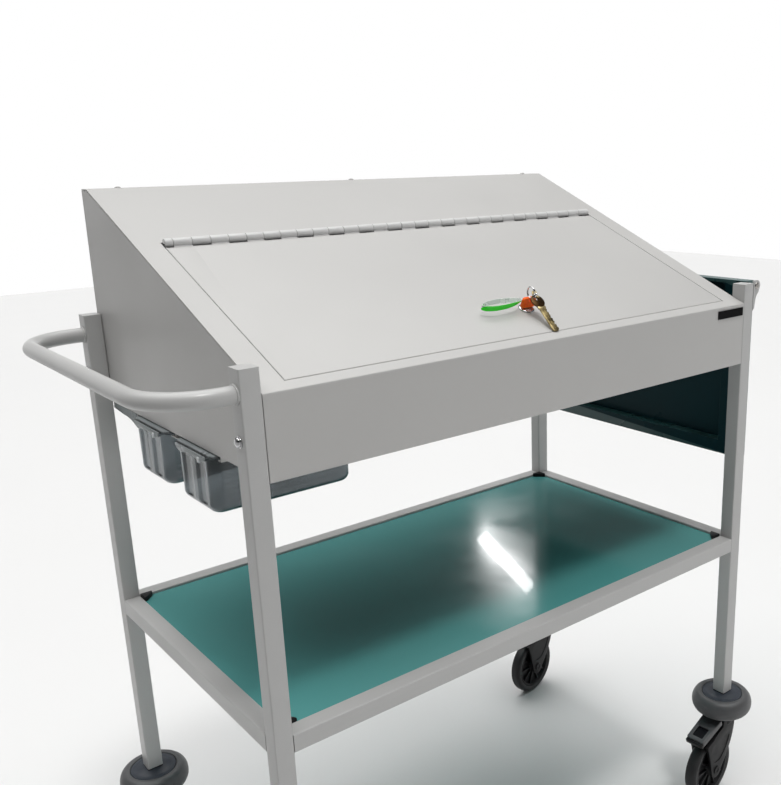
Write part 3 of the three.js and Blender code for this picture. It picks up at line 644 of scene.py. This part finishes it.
def hinge_leaf(name, side):
    """One leaf with its own knuckles; side is 1 for the cabinet's leaf and -1 for the lid's."""
    width, under, slack = 20.0, -3.0, 0.35
    near, far = HINGE_AT + side * (KNUCKLE + 5), HINGE_AT + side * width
    parts = [rounded_block(name, (LID_LOW + 2, LID_HIGH - 2), sorted((near, far)), (under, -1.8),
                           ON_SLOPE, WHITE_HINGE_PAINTED_LIGHT, 0.3)]
    section = arc(0, 0, KNUCKLE, 0, 360, 28)[:-1]
    across = ON_SLOPE @ at(0, HINGE_AT, HINGE_LIFT) @ turned("Y", 90)
    reach = sorted((HINGE_AT + side * 2.0, near + side))
    root = sorted((HINGE_AT + side * (KNUCKLE - 1.5), HINGE_AT + side * (KNUCKLE + 1.8)))
    for index in range(0 if side > 0 else 1, KNUCKLE_COUNT, 2):
        start = max(FIRST_KNUCKLE + index * KNUCKLE_PITCH, LID_LOW) + slack
        end = FIRST_KNUCKLE + (index + 1) * KNUCKLE_PITCH - slack
        parts.append(prism("knuckle", section, start, end, across, WHITE_HINGE_PAINTED_LIGHT, 0.4))
        parts.append(rounded_block("tongue", (start, end), reach, (under, -1.6), ON_SLOPE,
                                   WHITE_HINGE_PAINTED_LIGHT, 0.2))
        parts.append(rounded_block("root", (start, end), root, (-2.4, 0.1), ON_SLOPE,
                                   WHITE_HINGE_PAINTED_LIGHT, 0.3))
    return joined(parts)


# ---- lid, and the fold in front of it ----
def hinge_notches(back):
    """Room in the lid's back edge for the knuckles of the cabinet's leaf."""
    notches = []
    for index in range(0, KNUCKLE_COUNT, 2):
        start = max(FIRST_KNUCKLE + index * KNUCKLE_PITCH, LID_LOW + 1)
        end = min(FIRST_KNUCKLE + (index + 1) * KNUCKLE_PITCH, LID_HIGH - 1)
        notches.append(rounded_block("notch", (start, end), (back - 2.4, back + 2),
                                     (-1.7 - LID_FLANGE, 3), ON_SLOPE, WHITE, 0))
    return joined(notches)


def lid_pan():
    """A sheet pan with rolled outer edges, hollow below, with a hole for the lock."""
    closer, t = 0.6, LID_SHEET  # the pan fills part of the CAD lid's gap
    span, back = (LID_LOW - closer, LID_HIGH + closer), HINGE_AT - KNUCKLE - 1.4
    pan = rounded_block("lid_pan", span, (LID_FRONT - closer, back), (-LID_FLANGE, 0), ON_SLOPE,
                        WHITE, t, 4)
    inside = (span[0] + t, span[1] - t), (LID_FRONT + t, back - t), (-LID_FLANGE - 5, -t)
    cut(pan, rounded_block("cutter", *inside, ON_SLOPE, WHITE, 0.6))
    cut(pan, hinge_notches(back))
    hole = [(0, -4), (LOCK_HOLE, -4), (LOCK_HOLE, 2), (0, 2)]
    return cut(pan, lathe("cutter", hole, ON_LOCK, WHITE, 64))


dress(lid_pan(), "lid", "white_paint", "lid")


def front_fold():
    """The rounded fold where the sloping sheet turns down over the front panel."""
    proud, radius, reach, skirt, sheet = 0.12, 2.6, 7.0, 3.0, 1.2
    inner = (math.pi / 2 - SLOPE) / 2
    height = FRONT_TOP + proud - radius * math.tan(inner)
    turn = arc(radius - proud, height, radius, 180, 90 + math.degrees(SLOPE), 8)
    up = (math.cos(SLOPE), math.sin(SLOPE))
    tail = (turn[-1][0] + reach * up[0], turn[-1][1] + reach * up[1])
    under = (tail[0] + up[1], tail[1] - up[0])
    foot = turn[0][1] - skirt
    profile = [(-proud, foot)] + turn + [tail, under, (sheet, foot)]
    across = TROLLEY @ turned("Z", 90) @ turned("X", 90)
    return prism("front_fold", profile, CABINET_ENDS[0], CABINET_ENDS[1], across, WHITE, 0)


dress(front_fold(), "trolley", "white_paint")
dress(hinge_leaf("hinge_knuckles_fixed", 1), "trolley", "white_paint", "hinge_leaf_fixed")
dress(hinge_leaf("hinge_knuckles_lid", -1), "lid", "white_paint", "hinge_leaf_lid")


# ---- lock, keys and strap ----
KEY_SIDE = ON_LOCK @ turned("X", 90)
BOW_HOLE_Z, RING = 15.5, 8.0
RING_Z = BOW_HOLE_Z + RING
SPARE = ON_LOCK @ at(1.6, -RING, RING_Z) @ turned("X", 21)


def punch(radius, reach):
    """The profile of a round cutter that reaches this far to both sides."""
    return [(0, -reach), (radius, -reach), (radius, reach), (0, reach)]


def lock_rosette():
    """The barrel with its chromed, dished flange."""
    flange = [(6.3, -22), (9.5, -22), (9.5, GAP), (12, GAP), (12.1, 0.9), (11.6, 1.7), (10.4, 2.3),
              (8.4, 2.4), (7.6, 2.0), (6.8, 2.3), (6.3, 2.1)]
    return lathe("lock_rosette", flange, ON_LOCK, CHROME, 72)


def key_bow():
    """The orange grip, with grip grooves on both faces and a hole for the ring."""
    half, groove_half, face_at = 2.3, 0.7, 1.8
    outline = fillet([(-12, 5), (-10.5, 3.4), (10.5, 3.4), (12, 5), (12, 16.5), (9.5, 19),
                      (-9.5, 19), (-12, 16.5)], 1.2, 2)
    grip = prism("key_bow", outline, -half, half, KEY_SIDE, ORANGE, 0.9, 1)
    for face in (-1, 1):
        depth = sorted((face * face_at, face * 3))
        for x in (-7.2, -2.4, 2.4, 7.2):
            span = (x - groove_half, x + groove_half)
            cut(grip, rounded_block("cutter", span, (4.8, 12.5), depth, KEY_SIDE, ORANGE, 0))
    return cut(grip, lathe("cutter", punch(2.6, 4), KEY_SIDE @ at(0, BOW_HOLE_Z, 0), ORANGE, 28))


def split_ring(name, radius, wire, matrix, material):
    """Nearly two coils of flat-lying wire about local Z."""
    turns = 1.9
    steps = int(44 * turns)
    path = []
    for i in range(steps + 1):
        a = math.tau * turns * i / steps
        rise = 2 * wire * (turns * i / steps - turns / 2)
        path.append((radius * math.cos(a), radius * math.sin(a), rise))
    return sweep(name, path, wire, matrix, material, 10)


def ring_swivel():
    """The little chromed barrel between ring and strap."""
    barrel = [(0, -3.4), (1.8, -3.2), (2.7, -2.0), (2.7, 1.6), (1.9, 3.0), (0, 3.4)]
    place = ON_LOCK @ at(0.6, -8.6, RING_Z + 3.6) @ turned("Y", 35)
    return lathe("ring_swivel", barrel, place, CHROME, 28)


dress(lock_rosette(), "lid", "bright_steel", "lock_barrel")
dress(key_bow(), "lock", "orange_plastic", "key")
key_blade = rounded_block("key_blade", (-3.9, 3.9), (-14, 4.5), (-1, 1), KEY_SIDE, BRASS, 0.3)
dress(key_blade, "lock", "key_brass")
large = ON_LOCK @ at(0, 0, RING_Z + 3) @ turned("Y", 90) @ turned("Z", 140)
dress(split_ring("split_ring", RING, 0.75, large, CHROME), "keys", "bright_steel", "key_ring")
small = ON_LOCK @ at(3.4, -5.5, RING_Z + 2.6) @ turned("Y", 38) @ turned("X", 34)
dress(split_ring("small_ring", 4.9, 1.45, small, BRASS), "keys", "key_brass")
dress(ring_swivel(), "keys", "bright_steel")


def spare_key():
    """A round bow with a ring hole, a shoulder bar and a blade with cuts and a groove."""
    bow = prism("spare_key_bow", arc(0, -8, 11, 0, 360, 48)[:-1], -1.3, 1.3, SPARE, BRASS_DARK, 0.5)
    cut(bow, lathe("cutter", punch(3.8, 2), SPARE @ at(-1.0, -2.8, 0), BRASS_DARK, 36))
    half, shoulder = 5.6, 7.0
    cuts = [(-half, -60), (-half + 2, -62), (half - 3, -62), (half, -59.5)]
    for y, depth in ((-55, 1.0), (-49.5, 2.2), (-44, 0.9), (-38.5, 1.8), (-33, 0.8), (-27.5, 1.6)):
        cuts += [(half, y - 2.1), (half - depth, y - 0.9), (half - depth, y + 0.9), (half, y + 2.1)]
    cuts += [(half, -22), (shoulder, -21), (shoulder, -17.5)]
    cuts += [(-x, y) for x, y in reversed(cuts[-3:])]
    blade = prism("spare_key_blade", cuts, -1.1, 1.1, SPARE, BRASS, 0.25)
    for side in (-1, 1):
        depth = sorted((side * 0.6, side * 2))
        cut(blade, rounded_block("cutter", (-3.0, -0.8), (-61, -24), depth, SPARE, BRASS, 0))
    return bow, blade


bow, blade = spare_key()
dress(bow, "keys", "key_brass", "spare_key")
dress(blade, "keys", "key_brass")


# ---- strap ----
def ribbon(name, spine, width, lean, thickness, material, closed):
    """A flat band on edge along a spine, with its width and its lean from upright at each point."""
    points, upward = [Vector(p) for p in spine], Vector((0, 0, 1))
    soft, half = min(0.3, thickness * 0.4), thickness / 2
    verts, rings = [], []
    for i, (p, w, degrees) in enumerate(zip(points, width, lean)):
        before, after = neighbours(points, i, closed)
        along = (after - before).normalized()
        outward = along.cross(upward).normalized()
        tilt = math.radians(degrees)
        upright = upward * math.cos(tilt) + outward * math.sin(tilt)
        flat = along.cross(upright).normalized()
        section = [(w / 2 - soft, half), (w / 2, half - soft), (w / 2, soft - half),
                   (w / 2 - soft, -half)]
        section += [(-u, -v) for u, v in section]
        rings.append(list(range(len(verts), len(verts) + len(section))))
        verts += [p + upright * u + flat * v for u, v in section]
    return mesh_object(name, verts, skin(rings, closed), ON_LOCK, material, 40.0)


def strap():
    """A clear loop with a green strip on its near strand, which turns flat at the bow."""
    half, side, centre, steps = 35.0, 9.5, (-48.0, 3.0), 72
    angles = [math.tau * i / steps for i in range(steps)]
    loop = []
    for a in angles:
        pinch = 0.5 - 0.5 * math.cos(a)  # 0 at the bow and 1 at the far left
        x = centre[0] + half * math.cos(a)
        y = centre[1] + side * math.sin(a) * (0.35 + 0.65 * math.sqrt(max(pinch, 0)))
        loop.append((x, y, 13.5 - 1.5 * pinch))
    lean = [24 * (1 + math.cos(a)) / 2 for a in angles]
    clear = ribbon("strap_band", loop, [7.0] * steps, lean, 0.9, CLEAR_BAND, True)
    near = [(x, y - 0.9, z) for x, y, z in loop[33:71]]
    last = len(near) - 1
    wide = [7.4 * min(1.0, 0.35 + 2.4 * (last - i) / last) for i in range(len(near))]
    twist = [-14 + 60 * (i / last) ** 3 for i in range(len(near))]
    green = ribbon("strap_strip", near, wide, twist, 0.8, GREEN_BAND, False)
    return clear, green


clear, green = strap()
dress(clear, "keys", "strap_plastic", "key_strap")
dress(green, "keys", "strap_plastic")


# ---- bins ----
def oblong(half_x, half_y, radius, per_corner=7, per_side=18):
    """Points round an oblong, with the direction each one faces, for walls that carry ribs."""
    points = []
    for sx, sy, start in ((1, 1, 0), (-1, 1, 90), (-1, -1, 180), (1, -1, 270)):
        cx, cy = sx * (half_x - radius), sy * (half_y - radius)
        turn = arc(0, 0, 1, start, start + 90, per_corner)
        points += [((cx + radius * u, cy + radius * v), (u, v)) for u, v in turn]
        u, v = turn[-1]
        far = (-cx, cy) if start in (0, 180) else (cx, -cy)
        begin = (cx + radius * u, cy + radius * v)
        finish = (far[0] + radius * u, far[1] + radius * v)
        for t in (k / per_side for k in range(1, per_side)):
            place = tuple(a + (b - a) * t for a, b in zip(begin, finish))
            points.append((place, (u, v)))
    return points


FOOT, MOUTH, BIN_CORNER, BIN_SOFT, BIN_WALL = (100.0, 53.0), (99.5, 57.0), 17.0, 11.0, 1.6
RIB_PITCH, RIB_DEPTH, FLUTE_AT, FLUTE_DEPTH, SQUARE_ON = 8.5, 1.1, 22.0, 1.8, 0.99


def bin_ring(z, grow=0.0, ribs=1.0):
    """The wall's outline at a height, grown outward by an amount, with its ribs and flutes."""
    rise = (z - BIN_BOTTOM) / (BIN_TOP - BIN_BOTTOM)
    half = [f + (m - f) * rise for f, m in zip(FOOT, MOUTH)]
    fade = max(0.0, min(1.0, (z - BIN_BOTTOM - 5) / 6, (BIN_TOP - 8 - z) / 5)) * ribs
    wave = 0.5 + 0.5 * math.cos(math.tau * (z - BIN_BOTTOM) / RIB_PITCH)
    ring = []
    for (x, y), (u, v) in oblong(half[0] + grow, half[1] + grow, BIN_CORNER + grow):
        depth = 0.0
        if abs(v) > SQUARE_ON:
            depth = RIB_DEPTH * wave * max(0.0, min(1.0, (half[0] - 16 - abs(x)) / 5))
        elif abs(u) > SQUARE_ON:
            depth = FLUTE_DEPTH * max(0.0, min(1.0, (13 - abs(abs(y) - FLUTE_AT)) / 4))
        ring.append((x - u * depth * fade, y - v * depth * fade, z))
    return ring


def bin_foot(turn, inset):
    """One ring of the rounded foot, at some degrees up its bend and inset by the wall or not."""
    a, radius = math.radians(turn), BIN_SOFT - inset
    lift = inset + radius * (1 - math.cos(a))
    return bin_ring(BIN_BOTTOM + lift, -inset - radius * (1 - math.sin(a)), 0)


def bin_shell(name, matrix):
    """Outer foot and wall, the rolled rim, then the inner wall and foot."""
    wall, turns, count = BIN_WALL, (0, 20, 40, 60, 80), 42
    start, tall = BIN_BOTTOM + BIN_SOFT, BIN_TOP - 3.4 - BIN_BOTTOM - BIN_SOFT
    levels = [start + tall * i / count for i in range(count + 1)]
    rim = [(2.6, 3.0), (3.2, 2.4), (3.2, 0.6), (2.6, 0.0), (0.6 - wall, 0.0), (-wall, 0.6)]
    rings = [bin_foot(a, 0) for a in turns]
    rings += [bin_ring(z) for z in levels]
    rings += [bin_ring(BIN_TOP - below, grow, 0) for grow, below in rim]
    rings += [bin_ring(z, -wall) for z in reversed(levels)]
    rings += [bin_foot(a, wall) for a in reversed(turns)]
    verts, numbered = [], []
    for ring in rings:
        numbered.append(list(range(len(verts), len(verts) + len(ring))))
        verts += ring
    return mesh_object(name, verts, skin(numbered, False), matrix, BIN, 40.0)


RIM_END = -MOUTH[0] - 3.4


def bin_pull(name, matrix):
    """The finger pull: an arched apron that hangs from the rim's outer end."""
    arch = [(-46, 0), (46, 0), (44, -5), (36, -8.5)]
    for a in (0.0, 0.5, 1.05, 1.57, 2.1, 2.6, 3.14):
        arch.append((25 * math.cos(a), -9.5 + 4.0 * math.sin(a)))
    arch += [(-36, -8.5), (-44, -5)]
    across = matrix @ at(RIM_END, 0, BIN_TOP - 0.3) @ turned("Z", 90) @ turned("X", 90)
    return prism(name, fillet(arch, 2.0, 2), -1.0, 1.0, across, BIN_RIM, 0.5)


def bin_ledge(name, matrix):
    """The flat ledge behind the pull, which closes the mouth's outer end."""
    left, right, half, corner = -MOUTH[0] + 0.6, -MOUTH[0] + 20.0, MOUTH[1] - 0.6, 11
    outline = [(right, -half)] + arc(left + corner, -half + corner, corner, 270, 180, 6)
    outline += arc(left + corner, half - corner, corner, 180, 90, 6) + [(right, half)]
    return prism(name, outline, BIN_TOP - 2.4, BIN_TOP + 1.2, matrix, BIN_RIM, 0.4)


def bin_highlight_tab(name, matrix):
    """A small pale tab that stands proud of the pull near its front end; its pale colour is a
    painted highlight for the glint there.
    """
    height = (BIN_TOP - 11, BIN_TOP - 3.5)
    return rounded_block(name, (RIM_END - 2.2, RIM_END + 0.4), (-31, -25), height, matrix, TAB_PAINTED_HIGHLIGHT, 0.9)


def runner_flange():
    """The rear runner's end plate, from the bins to the rear leg under the side panel."""
    top, end = 844.6, DEPTH - TUBE - 0.4
    place = TROLLEY @ turned("Z", 90) @ turned("X", 90)
    edge = [(411, top), (411, 826), (424, 827)] + curve((424, 827), (438, 833), (468, 833), 6)
    edge += [(end, 836), (end, top)]
    return prism("bin_runner_flange", edge, 25.2, 26.8, place, BIN_RIM, 0.4)


dress(runner_flange(), "trolley", "bin_plastic")
for row, y in zip(("front", "rear"), BIN_ROWS):
    matrix = TROLLEY @ at(BIN_X, y, 0)
    dress(bin_shell(f"bin_walls_{row}", matrix), f"bin_{row}", "bin_plastic", f"bin_{row}")
    dress(bin_pull(f"bin_pull_{row}", matrix), f"bin_{row}", "bin_plastic")
    dress(bin_ledge(f"bin_ledge_{row}", matrix), f"bin_{row}", "bin_plastic")
    dress(bin_highlight_tab(f"bin_highlight_tab_{row}", matrix), f"bin_{row}", "bin_plastic")


# ---- castors ----
CROWN_TOP, CROWN, CHEEK, HOOD = 169.5, 22.0, 20.0, WHEEL + 7.5


def fork_outline():
    """The fork from the side: crown, leading edge, axle eye, then back up over the wheel's hood."""
    edge = [(18, CROWN_TOP - 6), (17, 138)]
    edge += curve((17, 138), (12, 100), (-23, 58), 12)
    edge += arc(-TRAIL, WHEEL, 16, -17, -160, 14)
    edge += curve(edge[-1], (-60, 98), (-70.9, 124.3), 8)
    edge += arc(-TRAIL, WHEEL, HOOD, 118, 101, 5)
    edge += curve(edge[-1], (-38, 142), (-21, 146), 5)
    return edge + [(-18, CROWN_TOP - 6)]


def fork(spot, base):
    """The fork with a pocket in each cheek, its crown rings and the two axle caps."""
    sideways, axle = base @ turned("X", 90), base @ at(-TRAIL, 0, WHEEL)
    body = prism(f"fork_{spot}", fork_outline(), -CHEEK, CHEEK, sideways, NYLON, 2.4, 3)
    cut(body, lathe("cutter", punch(WHEEL + 3, 15), axle @ turned("X", 90), NYLON, 72))
    pocket = fillet([(4, 122), (-8, 98), (-26, 80), (-48, 80), (-58, 100), (-56, 116), (-24, 126)],
                    8, 5)
    for low, high in ((-CHEEK - 1, -CHEEK + 0.9), (CHEEK - 0.9, CHEEK + 1)):
        cut(body, prism("cutter", pocket, low, high, sideways, NYLON, 0))
    crown = fillet([(17, 140), (CROWN, 146), (CROWN, 160), (26, 163), (26, CROWN_TOP),
                    (17, CROWN_TOP)], 1.6, 3)
    rings = lathe(f"fork_crown_{spot}", [(0, 140)] + crown + [(0, CROWN_TOP)], base, NYLON, 64)
    cap = [(0, CHEEK - 2), (8.6, CHEEK - 2), (8.6, CHEEK + 0.8), (7.4, CHEEK + 2.0),
           (4.5, CHEEK + 2.0), (4.0, CHEEK + 1.2), (0, CHEEK + 1.2)]
    caps = [lathe(f"axle_cap_{spot}_{name}", cap, axle @ turned("X", turn), NYLON, 40)
            for name, turn in (("near", 90), ("far", -90))]
    return body, rings, caps


def wheel(spot, base):
    """A rubber tyre on a black rim with ten spokes."""
    spoke_count, hub = 10, base @ at(-TRAIL, 0, WHEEL) @ turned("X", 90)
    tread = fillet([(49, -11), (57, -12.2), (61.4, -8.5), (WHEEL, -4), (WHEEL, 4), (61.4, 8.5),
                    (57, 12.2), (49, 11)], 2.2, 3)
    tyre = lathe(f"tyre_{spot}", tread, hub, TYRE, 96)
    web = [(4.4, -14.5), (13.5, -14.5), (16.5, -5), (42, -3.6), (45.5, -10.6), (50, -10.9)]
    web += [(r, -z) for r, z in reversed(web)]
    rim = lathe(f"wheel_rim_{spot}", fillet(web, 1.2, 2), hub, NYLON, 72)
    spokes = []
    for k in range(spoke_count):
        place = hub @ turned("Z", 360 * k / spoke_count)
        spokes.append(rounded_block("spoke", (14, 44.5), (-1.7, 1.7), (-8.2, 8.2), place,
                                    NYLON, 0.7))
    return tyre, joined([rim] + spokes)


def buffer(spot, base):
    """The grey rubber ring, its dished disc with the stem, and the leg's black end collar, which
    paints the shade in the gap under the leg.
    """
    section = [(41.6 + 13.6 * x, 188.6 + 18.4 * y) for x, y in arc(0, 0, 1, -92, 104, 30)]
    section += [(37.4, 205.4), (36.6, 198), (23, 196), (23, 170.2)]
    ring = lathe(f"buffer_ring_{spot}", section, base, RUBBER, 96)
    dish = [(0, 198.4), (36.4, 198.4), (36.8, 205.0), (36.0, 205.8), (35.0, 205.4), (27, 206.4),
            (19, 209.0), (9.5, 209.4), (9.5, 262), (0, 262)]
    disc = lathe(f"buffer_disc_{spot}", dish, base, DISC, 72)
    x, y, yaw = CASTORS[spot]
    half = TUBE / 2 - 0.4
    collar = rounded_block(f"leg_shade_collar_{spot}", (-half, half), (-half, half), (208.6, 210.9),
                           TROLLEY @ at(x, y, 0), NYLON, 0.5)
    return ring, disc, collar


PEDAL_AT, PEDAL_TILT, PEDAL_HALF, PEDAL_DEPTH = (-56.0, 153.3), 20.0, (32.0, 19.5), 12.0


def pedal(spot, base):
    """A sloping cap with a square window, skirts at its sides and a lip at its outer end; under the
    window sits a block darker than the nylon, painted shade.
    """
    half_x, half_y = PEDAL_HALF
    place = base @ at(PEDAL_AT[0], 0, PEDAL_AT[1]) @ turned("Y", -PEDAL_TILT)
    narrow = half_y - 1.5
    outline = fillet([(-half_x, -narrow), (half_x, -half_y), (half_x, half_y), (-half_x, narrow)],
                     4, 4)
    cap = prism(f"pedal_cap_{spot}", outline, -PEDAL_DEPTH, 0, place, PEDAL, 1.6, 3)
    cut(cap, rounded_block("cutter", (-half_x + 3, half_x + 2), (-half_y + 3, half_y - 3),
                           (-PEDAL_DEPTH - 1, -4), place, PEDAL, 0))
    window = fillet([(-24, -11), (0, -11), (0, 11), (-24, 11)], 1.6, 3)
    cut(cap, prism("cutter", window, -5, 1, place, PEDAL, 0))
    well = rounded_block(f"pedal_shaded_well_{spot}", (-26, 2), (-13, 13), (-6.0, -2.6), place,
                         NYLON_PAINTED_SHADE, 0.5)
    lip = rounded_block(f"pedal_lip_{spot}", (-half_x - 5, -half_x + 2), (-narrow, narrow),
                        (-PEDAL_DEPTH, -3), place, NYLON, 1.6)
    return cap, well, lip


for spot in CASTORS:
    base = castor_frame(spot)
    body, crown, caps = fork(spot, base)
    dress(body, f"castor_{spot}", "black_nylon", f"castor_fork_{spot}")
    for piece in [crown] + caps:
        dress(piece, f"castor_{spot}", "black_nylon")
    tyre, rim = wheel(spot, base)
    dress(tyre, f"wheel_{spot}", "wheel_rubber", f"castor_wheel_{spot}")
    dress(rim, f"wheel_{spot}", "wheel_rubber")
    ring, disc, collar = buffer(spot, base)
    dress(ring, "trolley", "buffer_rubber", f"castor_mount_{spot}")
    dress(disc, "trolley", "buffer_rubber")
    dress(collar, "trolley", "black_nylon")
    if spot in BRAKED:
        cap, well, lip = pedal(spot, base)
        dress(cap, f"brake_{spot}", "black_nylon", f"brake_pedal_{spot}")
        dress(well, f"brake_{spot}", "black_nylon")
        dress(lip, f"brake_{spot}", "black_nylon")

# ---- camera, at the photograph's viewing angle ----
CAMERA_AT, CAMERA_LENS, CAMERA_SENSOR = (-408.0, -908.0, 1188.0), 42.585, 36.0
CAMERA_YAW, CAMERA_PITCH, CAMERA_ROLL = 0.7029, 0.2776, -0.0197  # radians
CAMERA_SHIFT, CAMERA_NEAR = (-0.1402, 0.0378), 0.01
forward = Vector((
    math.sin(CAMERA_YAW) * math.cos(CAMERA_PITCH),
    math.cos(CAMERA_YAW) * math.cos(CAMERA_PITCH),
    -math.sin(CAMERA_PITCH),
))
right = Vector((math.cos(CAMERA_YAW), -math.sin(CAMERA_YAW), 0))
up = right.cross(forward)
axes = Matrix((right, up, -forward)).transposed().to_4x4() @ Matrix.Rotation(CAMERA_ROLL, 4, "Z")
camera = bpy.data.objects.new("camera", bpy.data.cameras.new("camera"))
camera.matrix_world = Matrix.Translation(TROLLEY @ Vector(CAMERA_AT)) @ axes
camera.data.lens, camera.data.sensor_width = CAMERA_LENS, CAMERA_SENSOR
camera.data.shift_x, camera.data.shift_y = CAMERA_SHIFT
camera.data.clip_start = CAMERA_NEAR
bpy.context.scene.collection.objects.link(camera)
bpy.context.scene.camera = camera


# ---- floor and light ----
bpy.context.scene.view_settings.view_transform = "Standard"
BRIGHT_SIDE = (0.95, 0.31, 0.0)  # the way toward the lighter side of the room, right and back


def pale_floor():
    """A matt pale floor that is darker toward the trolley's left end and front, painted shade that
    dims the light from those sides.
    """
    reach, drop, pale, dark = 9000.0, -0.2, (0.70, 0.70, 0.70), (0.33, 0.33, 0.33)
    m = Finish("pale_floor", pale, 0.65)
    across = m.add("ShaderNodeVectorMath", {0: m.place, 1: BRIGHT_SIDE}, operation="DOT_PRODUCT")
    # the darker tint toward the left and front is painted shade
    m.tint(m.ramp(across.outputs["Value"], 1.0, 0.0, -1.6, -0.5), dark)
    m.rough(m.noise(3.0, 3.0), 0.05)
    corners = [(x * reach, y * reach, drop) for x, y in ((-1, -1), (1, -1), (1, 1), (-1, 1))]
    return mesh_object("floor", corners, [(0, 1, 2, 3)], TROLLEY, m.material)


pale_floor()


def studio_world():
    """White up to a little above the horizon, a dim ceiling, and all dimmer to front and left."""
    world = bpy.data.worlds.new("studio")
    bpy.context.scene.world = world
    world.use_nodes = True
    tree = world.node_tree
    place = tree.nodes.new("ShaderNodeTexCoord").outputs["Generated"]
    split = tree.nodes.new("ShaderNodeSeparateXYZ")
    ramp = tree.nodes.new("ShaderNodeValToRGB")
    facing = tree.nodes.new("ShaderNodeVectorMath")
    facing.operation = "DOT_PRODUCT"
    facing.inputs[1].default_value = BRIGHT_SIDE
    dim = tree.nodes.new("ShaderNodeMapRange")
    for socket, value in (("From Min", -0.7), ("From Max", 0.2), ("To Min", 0.24), ("To Max", 1.0)):
        dim.inputs[socket].default_value = value
    tree.links.new(place, split.inputs["Vector"])
    tree.links.new(place, facing.inputs[0])
    tree.links.new(split.outputs["Z"], ramp.inputs["Fac"])
    tree.links.new(facing.outputs["Value"], dim.inputs["Value"])
    stops = ramp.color_ramp.elements
    stops[0].position, stops[1].position = 0.17, 0.9
    stops[0].color, stops[1].color = (1.0, 1.0, 1.0, 1.0), (0.55, 0.56, 0.58, 1.0)
    for height, level in ((0.25, 0.13), (0.6, 0.08)):
        stop = stops.new(height)
        stop.color = (level, level, level * 1.02, 1.0)
    background = tree.nodes["Background"]
    tree.links.new(ramp.outputs["Color"], background.inputs["Color"])
    tree.links.new(dim.outputs["Result"], background.inputs["Strength"])


studio_world()


def softbox(name, place, target, size, power, roll):
    """A rectangular light; place, target and size are in mm, and roll is in degrees."""
    light = bpy.data.lights.new(name, "AREA")
    light.shape, light.size, light.size_y = "RECTANGLE", size[0] * MM, size[1] * MM
    light.energy = power
    lamp = bpy.data.objects.new(name, light)
    start, end = TROLLEY @ Vector(place), TROLLEY @ Vector(target)
    aim = (end - start).to_track_quat("-Z", "Y").to_matrix().to_4x4()
    lamp.matrix_world = Matrix.Translation(start) @ aim @ turned("Z", roll)
    bpy.context.scene.collection.objects.link(lamp)


def overhead(name, power, spread, lean):
    """Even light from above, spread over some degrees and leaning by some toward the front."""
    light = bpy.data.lights.new(name, "SUN")
    light.energy, light.angle, light.color = power, math.radians(spread), (1.0, 0.995, 0.98)
    lamp = bpy.data.objects.new(name, light)
    lamp.rotation_euler = (math.radians(lean), 0, 0)
    bpy.context.scene.collection.objects.link(lamp)


overhead("ceiling", 2.65, 75, -8)  # a negative lean is toward the back
overhead("front_key", 0.8, 9, 19)
softbox("window", (2925, 3000, 2190), (548, 216, 520), (80, 440), 2.6, 42)
